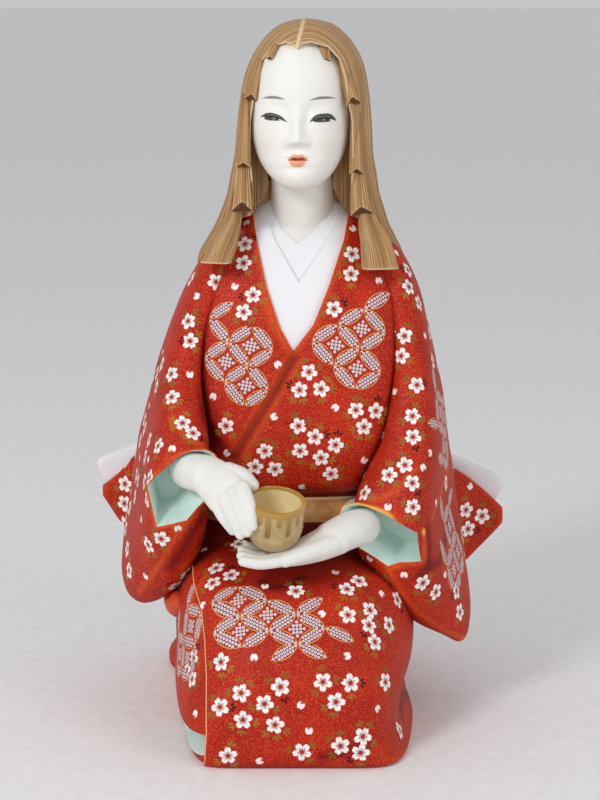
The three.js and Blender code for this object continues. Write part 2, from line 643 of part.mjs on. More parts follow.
const CLAY = new THREE.MeshStandardMaterial({ color: 0xc8321f, roughness: 0.6, metalness: 0 });
const GLAZE = new THREE.MeshStandardMaterial({ color: 0xd8c68c, roughness: 0.25, metalness: 0 });

const doll = new THREE.Group();
doll.add(named("figure", geometryOf(makeFigure()), CLAY));
doll.add(named("tea_bowl", bowlGeometry(0), GLAZE));

export default doll;
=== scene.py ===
"""A painted clay doll of a lady in a flowered robe, who kneels with a glazed tea bowl on her open hand."""

import math

import bpy
import numpy as np
from mathutils import Matrix, Vector
from mathutils.bvhtree import BVHTree


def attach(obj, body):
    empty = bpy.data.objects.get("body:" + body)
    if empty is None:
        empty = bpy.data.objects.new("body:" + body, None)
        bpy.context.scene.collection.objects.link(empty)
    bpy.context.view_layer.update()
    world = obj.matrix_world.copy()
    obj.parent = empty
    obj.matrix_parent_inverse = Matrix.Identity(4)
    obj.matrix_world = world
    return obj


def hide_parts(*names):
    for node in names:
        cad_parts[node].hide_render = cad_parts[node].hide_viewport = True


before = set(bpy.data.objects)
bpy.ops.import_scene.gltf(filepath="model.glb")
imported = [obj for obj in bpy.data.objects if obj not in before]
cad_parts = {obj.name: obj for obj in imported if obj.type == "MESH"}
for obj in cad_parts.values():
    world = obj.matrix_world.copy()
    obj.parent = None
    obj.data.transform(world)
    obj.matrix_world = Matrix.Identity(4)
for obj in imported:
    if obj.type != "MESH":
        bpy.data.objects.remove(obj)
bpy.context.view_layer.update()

# The skirt of the robe, spread over the folded legs. It is cast clay like the rest of the figure, with a
# front panel that lies over the side and a roll of cloth along the right thigh. All sizes are in millimetres.

PANEL_STEP = 2.2
# SKIRT: height, left, right, front, back, where it is widest, power, taper to the front.
SKIRT = np.array([
    [0, -52.4, 46.6, -86, 84, 10, 10, 0.16], [1.4, -53.4, 50.2, -87.4, 85.6, 10, 10, 0.16],
    [5, -54.4, 48, -88.5, 87, 10, 10, 0.16], [10, -55.2, 46.6, -89, 88, 10, 9, 0.16],
    [14.8, -57, 44.6, -89, 88, 10, 7.5, 0.16], [23, -57.6, 45.6, -89, 87, 9, 5.6, 0.15],
    [34, -57, 49.6, -88, 85, 8, 4, 0.14], [48, -57, 50, -84, 80, 5, 3.1, 0.11],
    [60, -56.5, 48.5, -76, 74, 4, 2.8, 0.06], [67, -55, 46.5, -70, 70, 5, 2.7, 0.03],
    [73, -53, 44.5, -61, 66, 6, 2.6, 0], [79, -49.5, 42, -46, 62, 8, 2.5, 0],
    [84, -47, 40, -26, 58, 10, 2.5, 0], [88, -45, 38, -13, 55, 14, 2.5, 0], [98, -43, 36, -9, 50, 18, 2.5, 0],
])
# THIGH_FOLD: place, half width, half thickness, turn in degrees.
THIGH_FOLD = np.array([
    [-38, -47, 60, 3, 4, 0], [-50, -35, 57, 4, 6, 0], [-57, -12, 52.5, 5, 7, 0], [-57, 20, 50, 5, 7, 0],
    [-50, 46, 50, 4, 6, 0],
])
# TRAIN: the columns of SKIRT, for the hem that trails behind the right knee.
TRAIN = np.array([
    [0, -64, 44, 28, 87, 66, 3, 0.16], [1, -64.6, 44.5, 27.4, 88, 66, 3, 0.16],
    [5, -64.6, 43, 27, 88, 66, 3, 0.16], [9, -62, 40, 31, 86, 66, 3, 0.16],
])
PANEL_EDGE = [
    [-48, 90], [-48.5, 76], [-47, 70.5], [-43.2, 63], [-41.4, 52], [-40.4, 38], [-40.2, 16], [-41, 4],
    [-42, -4],
]
POCKET = [[-62, 14.2], [-40.3, 14.2], [-40.3, 5], [-43.5, 4.2], [-48, 3], [-62, 2.6]]
POCKET_BACK = -42
# The sides of a ring of the skirt, and how far apart the rings of a form lie.
SKIRT_SIDES = 300
ROW_GAP = 1.3
# Where the cuts start, well in front of the doll, how far back the front panel is carried, and how much it has
# sunk into the side there.
FAR_FRONT = -110
PANEL_BACK = 45
PANEL_SINK = -0.6


def through(rows, at):
    """Rows of a table at places between them, on a smooth curve through all. Between rows q and r, with
    slopes m and n there and d = r - q, the value is q + m t + (3 d - 2 m - n) t^2 + (m + n - 2 d) t^3."""
    at = np.asarray(at, float)
    i = np.clip(at.astype(int), 0, len(rows) - 2)
    t = (at - i)[:, None]
    p, q, r, s = rows[np.maximum(i - 1, 0)], rows[i], rows[i + 1], rows[np.minimum(i + 2, len(rows) - 1)]
    m, n, d = (r - p) / 2, (s - q) / 2, r - q
    return q + m * t + (3 * d - 2 * m - n) * t**2 + (m + n - 2 * d) * t**3


def unit_ring(sides, power):
    """A circle at power 2, nearer a square above it: (cos a, sin a) times (|cos a|^p + |sin a|^p)^(-1/p)."""
    angle = 2 * np.pi * (np.arange(sides) + 0.5) / sides
    c, s = np.cos(angle), np.sin(angle)
    k = (np.abs(c) ** power + np.abs(s) ** power) ** (-1 / power)
    return c * k, s * k


def body_rings(rows, sides=180, grow=0.0):
    """Level rings: x runs from left to right and y from front to back of the ring, by its widest place, and
    the front half narrows by the taper times the square of how far forward it is."""
    z, left, right, front, back, widest, power, taper = rows.T[:, :, None]
    u, v = unit_ring(sides, power)
    narrow = np.where(v < 0, 1 - taper * v**2, 1)
    x = (left + right) / 2 + ((right - left) / 2 + grow) * u * narrow
    y = widest + np.where(v < 0, widest - front + grow, back - widest + grow) * v
    return np.stack([x, y, z + 0 * u], axis=-1)


def with_slots(mesh, finishes):
    """A mesh with two empty places for finishes, and the place that each of its faces takes."""
    mesh.materials.append(None)
    mesh.materials.append(None)
    mesh.polygons.foreach_set("material_index", np.asarray(finishes, np.int32))
    return mesh


def array_of(items, name, width=3, kind=float):
    """One property of all the items of a mesh, as an array."""
    values = np.zeros(len(items) * width, kind)
    items.foreach_get(name, values)
    return values.reshape(-1, width) if width > 1 else values


def smooth_rows(table, rings_of=body_rings, gap=ROW_GAP):
    """A table's smoothed rows, whose rings lie one gap apart: the longest step of any point of a coarse ring
    is summed along the table and cut into equal lengths."""
    fine = np.linspace(0, len(table) - 1, 60 * (len(table) - 1) + 1)
    rings = rings_of(through(table, fine), 8)
    steps = np.linalg.norm(np.diff(rings, axis=0), axis=2).max(axis=1)
    length = np.concatenate([[0], np.cumsum(steps)])
    places = np.interp(np.linspace(0, length[-1], int(length[-1] / gap) + 2), length, fine)
    return through(table, places)


def closed_mesh(rings, finish=0):
    """A closed skin over rings: quads between neighbours and a fan to the middle of each end, turned to face
    out."""
    count, sides = rings.shape[:2]
    points = np.concatenate([rings.reshape(-1, 3), rings[0].mean(0)[None], rings[-1].mean(0)[None]])
    j = np.arange(sides)
    k = (j + 1) % sides
    row = (np.arange(count - 1) * sides)[:, None]
    quads = np.stack([row + j, row + k, row + sides + k, row + sides + j], axis=-1).reshape(-1, 4)
    last = (count - 1) * sides
    low = np.stack([np.full(sides, count * sides), k, j], axis=-1)
    high = np.stack([np.full(sides, count * sides + 1), last + j, last + k], axis=-1)
    mesh = bpy.data.meshes.new("made")
    mesh.from_pydata(points, [], quads.tolist() + low.tolist() + high.tolist())
    corners = points[np.concatenate([quads[:, [0, 1, 2]], quads[:, [0, 2, 3]], low, high])]
    if np.einsum("ij,ij->", corners[:, 0], np.cross(corners[:, 1], corners[:, 2])) < 0:
        mesh.flip_normals()
    return with_slots(mesh, np.full(len(mesh.polygons), finish))


def prism(outline, front, back, finish=0):
    """A prism along y over an outline of x and z."""
    flat = np.array(outline, float)
    ends = [np.column_stack([flat[:, 0], np.full(len(flat), y), flat[:, 1]]) for y in (front, back)]
    return closed_mesh(np.array(ends), finish)


def changed(mesh, kind, **settings):
    """A mesh after one of Blender's modifiers, with the old mesh dropped."""
    thing = bpy.data.objects.new("made", mesh)
    bpy.context.scene.collection.objects.link(thing)
    modifier = thing.modifiers.new("change", kind)
    for name, value in settings.items():
        setattr(modifier, name, value)
    made = bpy.data.meshes.new_from_object(thing.evaluated_get(bpy.context.evaluated_depsgraph_get()))
    bpy.data.objects.remove(thing)
    return made


def carved(mesh, other, operation):
    """The union, difference or intersection of two closed meshes."""
    tool = bpy.data.objects.new("tool", other)
    bpy.context.scene.collection.objects.link(tool)
    made = changed(mesh, "BOOLEAN", solver="MANIFOLD", operation=operation, object=tool)
    bpy.data.objects.remove(tool)
    return made


def limb_rings(stations, per_gap=8, sides=40, power=2.0, rounded=(True, True)):
    """Rings across a path. Each has its half width along the side direction and its half thickness across it,
    turned about the path; a rounded end shrinks as a cosine while it moves on as a sine."""
    rows = through(stations, np.linspace(0, len(stations) - 1, per_gap * (len(stations) - 1) + 1))
    place = rows[:, :3]
    along = np.gradient(place, axis=0)
    along /= np.linalg.norm(along, axis=1)[:, None]
    span = place[-1] - place[0]
    steep = abs(span[2]) > 0.8 * np.linalg.norm(span)
    level = np.array([1.0, 0, 0]) if steep else np.array([0, 0, 1.0])
    side = level - along * (along @ level)[:, None] if steep else np.cross(along, level)
    side /= np.linalg.norm(side, axis=1)[:, None]
    turn = np.radians(rows[:, 5])[:, None]
    side = side * np.cos(turn) + np.cross(along, side) * np.sin(turn)
    out = np.cross(side, along)
    u, v = unit_ring(sides, power)

    def ring(i, push, size):
        wide, thick = rows[i, 3] * size, rows[i, 4] * size
        return place[i] + along[i] * push + np.outer(u * wide, side[i]) + np.outer(v * thick, out[i])

    ends = np.radians([75, 55, 35, 18])
    made = [ring(i, 0, 1) for i in range(len(rows))]
    if rounded[0]:
        made = [ring(0, -math.sin(a) * rows[0, 4], math.cos(a)) for a in ends] + made
    if rounded[1]:
        made += [ring(-1, math.sin(a) * rows[-1, 4], math.cos(a)) for a in ends[::-1]]
    return np.array(made)


def together(meshes):
    """Several meshes as one."""
    points, faces, slots, start = [], [], [], 0
    for mesh in meshes:
        points.append(array_of(mesh.vertices, "co"))
        faces += [[start + i for i in polygon.vertices] for polygon in mesh.polygons]
        slots.append(array_of(mesh.polygons, "material_index", 1, np.int32))
        start += len(mesh.vertices)
    made = bpy.data.meshes.new("made")
    made.from_pydata(np.concatenate(points), [], faces)
    return with_slots(made, np.concatenate(slots))


def blended(meshes, voxel, rounds):
    """Overlapping forms melted into one skin of even quads, then smoothed so many times."""
    made = changed(together(meshes), "REMESH", mode="VOXEL", voxel_size=voxel, adaptivity=0.0)
    return changed(made, "SMOOTH", factor=0.5, iterations=rounds)


def piece(name, mesh, finishes, node="figure", sharp=40):
    """A finished piece in metres, smooth but for edges sharper than so many degrees, in place of a node."""
    mesh.transform(Matrix.Scale(0.001, 4))
    while len(mesh.materials) < len(finishes):
        mesh.materials.append(None)
    for number, finish in enumerate(finishes):
        mesh.materials[number] = finish
    mesh.shade_smooth()
    mesh.set_sharp_from_angle(angle=math.radians(sharp))
    mesh.name = name
    made = bpy.data.objects.new(name, mesh)
    bpy.context.scene.collection.objects.link(made)
    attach(made, "root")
    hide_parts(node)
    return made


def smooth_step(value, low, high):
    """0 below low, 1 above high, and 3 t^2 - 2 t^3 between."""
    t = np.clip((value - low) / (high - low), 0, 1)
    return t * t * (3 - 2 * t)


def tone(red, green, blue):
    """A colour given as it looks, 0 to 255, in the linear values of the shader: ((c + 0.055) / 1.055)^2.4."""
    shares = [value / 255 for value in (red, green, blue)]
    return (*[s / 12.92 if s < 0.04 else ((s + 0.055) / 1.055) ** 2.4 for s in shares], 1)


class Field:
    """A value that varies over a surface. Arithmetic on it adds the nodes that work it out."""

    def __init__(self, paint, socket):
        self.paint, self.socket = paint, socket

    def math(self, operation, *others):
        return self.paint.node("ShaderNodeMath", {"operation": operation}, [self, *others])

    def __add__(self, other):
        return self.math("ADD", other)

    def __mul__(self, other):
        return self.math("MULTIPLY", other)

    def __sub__(self, other):
        return self.math("SUBTRACT", other)

    def __truediv__(self, other):
        return self.math("DIVIDE", other)

    def __rsub__(self, other):
        return self * -1 + other

    def __neg__(self):
        return self * -1

    def __abs__(self):
        return self.math("ABSOLUTE")

    def __mod__(self, other):
        return self.math("FLOORED_MODULO", other)

    def __pow__(self, other):
        return self.math("POWER", other)

    __radd__ = __add__
    __rmul__ = __mul__

    def clamped(self):
        return self.paint.node("ShaderNodeClamp", {}, [self, 0.0, 1.0])

    def within(self, soft):
        """1 where the value is below zero, 0 above it, over an edge of the given softness."""
        return (0.5 - self / soft).clamped()

    def equals(self, number):
        return self.math("COMPARE", number, 0.5)


class Paint:
    """A material: the Principled shader with constants set on its sockets, and fields made by one method."""

    def __init__(self, name, **constants):
        self.material = bpy.data.materials.new(name)
        self.material.use_nodes = True
        self.tree = self.material.node_tree
        self.shader = self.tree.nodes["Principled BSDF"]
        for socket, value in constants.items():
            self.shader.inputs[socket.replace("_", " ")].default_value = value

    def node(self, kind, settings, inputs, output=0):
        made = self.tree.nodes.new(kind)
        for name, value in settings.items():
            setattr(made, name, value)
        for name, value in inputs.items() if isinstance(inputs, dict) else enumerate(inputs):
            if isinstance(value, Field):
                self.tree.links.new(value.socket, made.inputs[name])
            else:
                made.inputs[name].default_value = value
        return Field(self, made.outputs[output])

    def mix(self, factor, first, second):
        """Between two colours, each a field or three numbers from 0 to 255."""
        first, second = [each if isinstance(each, Field) else tone(*each) for each in (first, second)]
        return self.node("ShaderNodeMix", {"data_type": "RGBA"}, {0: factor, 6: first, 7: second}, 2)

    def cover(self, factor, colour):
        """Lays a colour over what is painted so far."""
        self.colour = self.mix(factor, self.colour, colour)

    def done(self):
        """The material, with what is painted as its colour."""
        self.tree.links.new(self.colour.socket, self.shader.inputs["Base Color"])
        return self.material

    def parts(self, vector):
        return [self.node("ShaderNodeSeparateXYZ", {}, [vector], k) for k in range(3)]

    def places(self):
        """The object's own coordinates, in millimetres."""
        place = self.node("ShaderNodeTexCoord", {}, {}, "Object")
        return self.node("ShaderNodeVectorMath", {"operation": "SCALE"}, {0: place, "Scale": 1000.0})

    def noise(self, place, scale, detail=2.0):
        return self.node("ShaderNodeTexNoise", {}, {"Vector": place, "Scale": scale, "Detail": detail}, 0)

    def stored(self, name):
        return self.node("ShaderNodeAttribute", {"attribute_name": name}, {}, "Vector")

    def bump(self, height, distance, strength=1.0):
        made = self.node("ShaderNodeBump", {}, {"Height": height, "Distance": distance, "Strength": strength})
        self.tree.links.new(made.socket, self.shader.inputs["Normal"])


def plain(name, colour, roughness=0.6):
    """One colour with a faint mottle."""
    paint = Paint(name, Roughness=roughness)
    paint.colour = paint.mix(paint.noise(paint.places(), 0.15), colour, [int(c * 0.93) for c in colour])
    return paint.done()


def oval(x, y, middle_x, middle_y, wide, high):
    """((x - a) / w)^2 + ((y - b) / h)^2, which is 1 on the edge of an oval and less inside it."""
    return ((x - middle_x) / wide) ** 2.0 + ((y - middle_y) / high) ** 2.0


RED = (172, 19, 9)
BRIGHT = (200, 36, 13)
DEEP = (122, 8, 7)
GOLD_DUST = (238, 120, 56)
# The orange below is painted highlight and the crimson is painted shade, both over the doll's own sprayed
# shading; the gold is the gilt of one rim.
HIGHLIGHT_ORANGE = (226, 84, 26)
SHADE_CRIMSON = (72, 4, 8)
GOLD = (244, 184, 88)
# How far apart the dots in a lens lie, in shares of half its length.
DOT_ROW = 0.2
DOT_COLUMN = 0.205


def robe_finish(name):
    """Vermilion sprayed with gold dust, crimson in the hollows of the folds and orange along the ridges, rims
    and lit folds, gold on one rim, with the painted pattern laid over it. The crimson and the orange are the
    doll's own sprayed shading, laid where shade and light fall, so they are painted shade and painted
    highlight too. The pattern's coordinates are stored on the corners of the faces: x and y in shares of the
    motif's own radius, and a code whose whole part is its kind: 1 blossom, 2 bud, 3 leaves, 4 dark leaves, 5
    the lens where two rings cross, 6 the dotted diamond between them."""
    paint = Paint(name, Roughness=0.55, Specular_IOR_Level=0.2)
    place = paint.places()
    # The stored relief holds painted shade in the hollows, painted highlight with the gilt of one rim, and the
    # distance from the panel's edge.
    crease_shade, highlight_and_gilt, edging = paint.parts(paint.stored("relief"))
    x, y, code = paint.parts(paint.stored("motif"))
    kind = code.math("FLOOR")
    seed = code % 1.0

    cloud = paint.noise(place, 0.05)
    dust = paint.noise(place, 2.3, 1.0)
    paint.colour = paint.mix(((cloud - 0.4) * 2.5).clamped(), RED, BRIGHT)
    # Painted highlight: orange along the ridges, rims and lit folds.
    paint.cover((highlight_and_gilt * (0.5 + cloud * 0.7)).clamped(), HIGHLIGHT_ORANGE)
    paint.cover(((dust - 0.55) * 8.0).clamped() * (0.62 - crease_shade * 0.5).clamped(), GOLD_DUST)
    paint.cover(((0.47 - dust) * 8.0).clamped() * 0.45, DEEP)
    # Painted shade: crimson in the hollows of the folds.
    paint.cover((crease_shade * 0.85).clamped(), SHADE_CRIMSON)
    # Gold along the gilt of one rim, where the stored highlight passes one.
    paint.cover((highlight_and_gilt - 1.0).clamped(), GOLD)
    paint.cover((abs(edging - 0.3) - 0.22).within(0.15) * 0.85, (236, 190, 134))

    radius = (x * x + y * y) ** 0.5
    fifth = 2 * math.pi / 5
    turn = y.math("ARCTAN2", x) / fifth
    fold = abs((turn + 0.5 + seed) % 1.0 - 0.5) * fifth
    u, v = radius * fold.math("COSINE"), radius * fold.math("SINE")
    petal = oval(u, v, 0.61, 0.0, 0.38, 0.33)
    notch = ((u - 0.85) * 0.55 - v).within(0.06)
    blossom = kind.equals(1.0)
    petals = (petal - 1.0).within(0.3) * notch * blossom
    white = paint.mix((petal - 0.45).clamped() * 0.5, (250, 245, 240), (232, 208, 206))
    heart = (oval(u, v, 0.37, 0.0, 0.13, 0.12) - 1.0).within(0.8)
    paint.cover(petals, paint.mix(heart * 0.75, white, (140, 116, 118)))
    stamens = (abs(v) - 0.02).within(0.03) * (radius - 0.32).within(0.05) * blossom
    paint.cover(stamens * 0.6, (206, 120, 70))
    paint.cover((radius - 0.15).within(0.06) * blossom, (172, 32, 22))

    half = abs(x)
    lobe = oval(half * 0.97 + y * 0.2, y * 0.97 - half * 0.2, 0.4, 0.05, 0.4, 0.78)
    bud = paint.mix((-y - 0.1).clamped(), (250, 243, 238), (196, 90, 90))
    paint.cover((lobe - 1.0).within(0.3) * kind.equals(2.0), bud)

    rise = y + 0.95
    slant, beside = half * 0.6 + rise * 0.8, half * 0.8 - rise * 0.6

    def fan(straight, slanting):
        """1 inside three ovals that spread from the foot of a sprig, each given by its middle, half length
        and half width."""
        leaves = [
            (oval(along, across, middle, 0.0, long, wide) - 1.0).within(0.45)
            for along, across, (middle, long, wide) in ((rise, x, straight), (slant, beside, slanting))
        ]
        return leaves[0].math("MAXIMUM", leaves[1])

    vein = (abs(x) - 0.03).within(0.05).math("MAXIMUM", (abs(beside) - 0.03).within(0.05))
    olive = paint.mix(vein * 0.6, paint.mix(seed, (112, 98, 22), (158, 126, 42)), (178, 138, 60))
    leaves = fan((0.82, 0.5, 0.22), (0.74, 0.44, 0.2)) * kind.equals(3.0)
    paint.cover(leaves * (((dust - 0.42) * 5.0).clamped() * 0.5 + 0.45), olive)
    drops = fan((0.9, 0.42, 0.2), (0.78, 0.36, 0.18)) * kind.equals(4.0)
    paint.cover(drops * 0.95, (40, 12, 12))

    # A lens lies inside two circles whose middles are 1 above and below its own, each as far from its tips.
    lens, diamond = kind.equals(5.0), kind.equals(6.0)
    edge = oval(x, abs(y), 0.0, -1.0, 1.0, 1.0) ** 0.5 - 2**0.5
    paint.cover((edge - 0.01).within(0.03) * lens, (230, 164, 88))
    paint.cover((edge + 0.05).within(0.03) * lens, (140, 26, 26))
    size = lens + diamond * 0.61
    across, up = x * size, y * size
    row = (up / DOT_ROW).math("ROUND")
    shift = row * 0.5 * lens
    column = (across / DOT_COLUMN + shift).math("ROUND") - shift
    middle, level = column * DOT_COLUMN, row * DOT_ROW
    spot = ((across - middle) ** 2.0 + (up - level) ** 2.0) ** 0.5
    filled = (oval(middle, abs(level), 0.0, -1.0, 1.0, 1.0) ** 0.5 - 2**0.5 + 0.1).within(0.01) * lens
    filled = filled + (abs(middle) + abs(level) - 0.46).within(0.01) * diamond
    paint.cover(filled * (spot - 0.13).within(0.03) * 0.9, (84, 24, 50))
    paint.cover((spot - 0.083).within(0.03) * filled, (250, 232, 234))
    paint.cover((spot - 0.03).within(0.03) * filled, (176, 52, 84))

    paint.bump(dust * 0.5 + petals * 0.6 + lens * (edge + 0.02).within(0.06) * 0.3, 0.0002, 0.5)
    return paint.done()


robe_paint = robe_finish("robe_paint")
lining_paint = plain("lining_paint", (226, 248, 240))

rows = smooth_rows(SKIRT)
side = prism(POCKET, FAR_FRONT, POCKET_BACK, 1)
side = carved(closed_mesh(body_rings(rows, SKIRT_SIDES)), side, "DIFFERENCE")
over_rings = body_rings(rows, SKIRT_SIDES, PANEL_STEP)
fade = smooth_step(over_rings[:, :, 1], -20, 30)[:, :, None]
over_rings = over_rings * (1 - fade) + body_rings(rows, SKIRT_SIDES, PANEL_SINK) * fade
front = prism([*PANEL_EDGE, [80, -4], [80, 90]], FAR_FRONT, PANEL_BACK)
over = carved(closed_mesh(over_rings), front, "INTERSECT")
robe_skirt = piece("robe_skirt", side, [robe_paint, lining_paint])
robe_panel = piece("robe_panel", over, [robe_paint, lining_paint])
robe_fold = piece("robe_fold", closed_mesh(limb_rings(THIGH_FOLD, 16, 40)), [robe_paint])
robe_train = piece("robe_train", closed_mesh(body_rings(smooth_rows(TRAIN), 180)), [robe_paint])

# The body of the robe, cast with the collars of two under-robes and the bare chest and neck behind them. Each
# layer of cloth stands a step proud of the one below, and the doll's left side of the robe lies over its
# right.
COLLAR_STEP = 1.5
OVERLAP_STEP = 1.2
ROBE_STEP = 1.8
# BODY: the columns of SKIRT.
BODY = np.array([
    [84, -45, 36, -10, 55, 18, 2.8, 0], [93, -45, 36, -11, 51, 18, 2.8, 0],
    [102, -45, 37, -13, 49, 17, 2.8, 0], [107, -46, 39, -22, 48, 16, 3, 0],
    [114, -47, 42, -26, 47, 14, 3.4, 0], [128, -48, 45, -28, 46, 12, 4, 0],
    [150, -49.5, 46, -26.5, 46, 12, 4.2, 0], [175, -49, 47, -22, 47, 12, 4, 0],
    [195, -46.5, 46, -17, 46, 12, 3.4, 0], [208, -42, 42, -12, 43, 12, 2.8, 0],
    [218, -35, 36, -8, 39, 12, 2.5, 0], [226, -27, 29, -4, 34, 12, 2.3, 0], [233, -20, 22, 0, 30, 12, 2.2, 0],
    [238, -17, 19, 3, 27, 12, 2.1, 0],
])
# Each opening runs down its right edge to its point and up its left edge, in places across and in height.
COLLARS = [
    {
        "right": [[-13, 238], [-12.6, 231], [-8.5, 222]], "point": [-1, 215.5],
        "left": [[8, 222.5], [13.5, 231], [15, 238]],
    },
    {
        "right": [[-17.5, 240], [-15.5, 229], [-11, 217]], "point": [-0.6, 199.5],
        "left": [[10, 214], [16.5, 226], [19, 240]],
    },
]
ROBE_EDGE = {
    "right": [[-22.5, 238], [-21, 227], [-18.5, 213], [-14.8, 197], [-9, 180]],
    "point": [-3.1, 169.3],
    "left": [[6, 181], [13, 198], [19.5, 217], [22, 229], [23, 238]],
}
OVERLAP_EDGE = [[-10.1, 157.5], [-14.4, 150], [-21.6, 138.5], [-29.5, 125.5], [-36, 112], [-39, 100]]
BODY_SIDES = 220
body_rows = smooth_rows(BODY)


def body_layer(grow):
    """The rings of the body grown outwards by so many millimetres, closed."""
    return closed_mesh(body_rings(body_rows, BODY_SIDES, grow))


def apart_from(points, line):
    """The least distance from points to the stretches of a line: each is met at t = (p - a).d / d.d, kept to
    0..1."""
    line = np.asarray(line, float)
    start, step = line[:-1], np.diff(line, axis=0)
    offset = points[:, None] - start
    t = np.clip((offset * step).sum(2) / (step**2).sum(1), 0, 1)
    return np.linalg.norm(offset - t[:, :, None] * step, axis=2).min(1)


def wedge(edge):
    """The opening between two edges that meet in a point, carried from front to back."""
    return prism([*edge["right"], edge["point"], *edge["left"], [0, 250]], -60, 8)


overlap = prism([ROBE_EDGE["point"], *ROBE_EDGE["left"], [60, 238], [60, 100], *OVERLAP_EDGE[::-1]], -60, 12)
robe = carved(body_layer(0), carved(body_layer(OVERLAP_STEP), overlap, "INTERSECT"), "UNION")
robe = carved(robe, wedge(ROBE_EDGE), "DIFFERENCE")
robe_bodice = piece("robe_bodice", robe, [robe_paint])
white_paint = plain("white_paint", (240, 242, 245))


def store(mesh, name, values, domain="POINT"):
    """A vector for each point, or each corner of a face, of a mesh."""
    made = mesh.attributes.new(name, "FLOAT_VECTOR", domain)
    made.data.foreach_set("vector", np.asarray(values, float).ravel())


def collar_finish(name):
    """White, greyer in a soft line along the edge of each collar as painted shade at its step, the distance
    from the edge being stored at the points.
    """
    paint = Paint(name, Roughness=0.6)
    edging = paint.parts(paint.stored("edging"))[0]
    # Painted shade: grey in a soft line along the edge of each collar, where it steps down to the layer below.
    paint.colour = paint.mix((edging - 0.15).within(0.9), (238, 240, 243), (206, 212, 219))
    return paint.done()


collar_paint = collar_finish("collar_paint")
for step, collar in enumerate(COLLARS, 1):
    grow = -ROBE_STEP - COLLAR_STEP * (len(COLLARS) - step)
    layer = carved(body_layer(grow), wedge(collar), "DIFFERENCE")
    points = array_of(layer.vertices, "co")
    apart = apart_from(points[:, [0, 2]], [*collar["right"], collar["point"], *collar["left"]])
    store(layer, "edging", np.column_stack([np.where(points[:, 1] < 4, apart, 9), apart, apart]))
    piece(f"collar_{step}", layer, [collar_paint])

# NECK: place, half width, half thickness, turn.
NECK = np.array([
    [1, 17, 206, 17, 15, 0], [1, 12, 222, 15.4, 14, 0], [1, 5, 238, 14, 13, 0], [0, 0, 254, 14, 14, 0],
], float)
skin_paint = plain("skin_paint", (240, 239, 233))
chest = closed_mesh(body_rings(body_rows[body_rows[:, 0] > 190], BODY_SIDES, -ROBE_STEP - COLLAR_STEP * 2))
neck = closed_mesh(limb_rings(NECK, 12, 100, 2, (False, False)))
piece("neck", blended([chest, neck], 0.95, 14), [skin_paint])

# The sash, a smooth band a little proud of the waist, in mottled gold with a paler upper edge, which is
# painted highlight where the edge rounds over. The gold and the pale edge are only painted, so it is one ring
# of clay.
SASH = np.array([[87, 0.9], [88, 1.6], [95, 2], [102.4, 1.6], [103.4, 0.9]])
WAIST = [-45, 36, -12, 50.5, 18, 2.8, 0]
SASH_EDGE = 99.9


def sash_finish(name):
    """Gold in soft clouds of two tones with fine specks, and cream above a line that runs round the top edge,
    as painted highlight where the edge rounds over."""
    paint = Paint(name, Roughness=0.42, Specular_IOR_Level=0.5)
    place = paint.places()
    _, _, height = paint.parts(place)
    cloud, speck = paint.noise(place, 0.14, 4.0), paint.noise(place, 1.1, 1.0)
    paint.colour = paint.mix(((cloud - 0.35) * 3.0).clamped(), (178, 122, 62), (222, 170, 104))
    paint.cover(((speck - 0.55) * 6.0).clamped() * 0.4, (228, 176, 110))
    # Painted highlight: cream along the rounded top edge.
    paint.cover((SASH_EDGE - height).within(0.3) * 0.85, (246, 220, 168))
    paint.bump(speck, 0.0001, 0.4)
    return paint.done()


sash_rows = through(SASH, np.linspace(0, 4, 33))
rings = np.concatenate([body_rings(np.array([[z, *WAIST]]), BODY_SIDES, grow) for z, grow in sash_rows])
piece("sash", closed_mesh(rings), [sash_finish("sash_paint")])

# The hanging sleeves. Each is a flattened bag of cast clay from the shoulder to its tip, melted into a cuff
# that is drawn out to the corners of its mouth, and hollowed there to show the pale green lining.
# Both sleeves: height, place across and in depth, half length, half thickness, turn in degrees, power.
RIGHT_ARM_SLEEVE = np.array([
    [50, -72, -6, 3, 2, 108, 2], [54, -71, -5, 14, 8, 108, 1.9], [62, -68, -4, 26, 13, 107, 2],
    [72, -65, -4, 35, 15, 105, 2.2], [84, -62.5, -5, 41, 15.5, 102, 2.8], [98, -60, -5, 45, 15.5, 99, 4],
    [112, -58.5, -6, 46, 15, 98, 4.5], [124, -57.5, -6, 46, 14, 98, 4.2], [133, -56.5, -4, 44, 13, 98, 3.6],
    [143, -56, -1, 37, 11.5, 98, 3.2], [158, -54.5, 3, 30, 10, 97, 2.9], [176, -50, 6, 25, 9, 96, 2.7],
    [193, -43.5, 8, 22, 9, 94, 2.5], [206, -36.5, 9, 18, 9, 92, 2.2], [216, -30, 10, 13, 8, 90, 2],
    [220, -28, 10, 6, 4, 90, 2],
])
LEFT_ARM_SLEEVE = np.array([
    [34, 73, -14, 3, 2, 72, 2], [38, 71, -12, 10, 6, 72, 1.9], [46, 65, -8, 24, 12.5, 72, 2],
    [56, 60, -6, 34, 16, 73, 2.1], [68, 55, -6, 41, 18, 74, 2.5], [80, 51, -6, 44, 19, 75, 3.4],
    [94, 48, -6, 45, 19, 76, 4.4], [107, 48.5, -5, 44, 18, 77, 4], [118, 50, -4, 40, 16, 79, 3.5],
    [130, 52, -2, 36, 13.5, 81, 3.2], [144, 52.5, 1, 32, 12, 82, 3], [161, 51.5, 4, 28, 10, 84, 2.8],
    [178, 49, 6, 24, 9, 85, 2.6], [194, 45, 8, 21, 9, 87, 2.4], [208, 38.5, 9, 17, 9, 88, 2.1],
    [217, 32, 10, 12, 8, 90, 2], [221, 30, 10, 6, 4, 90, 2],
])
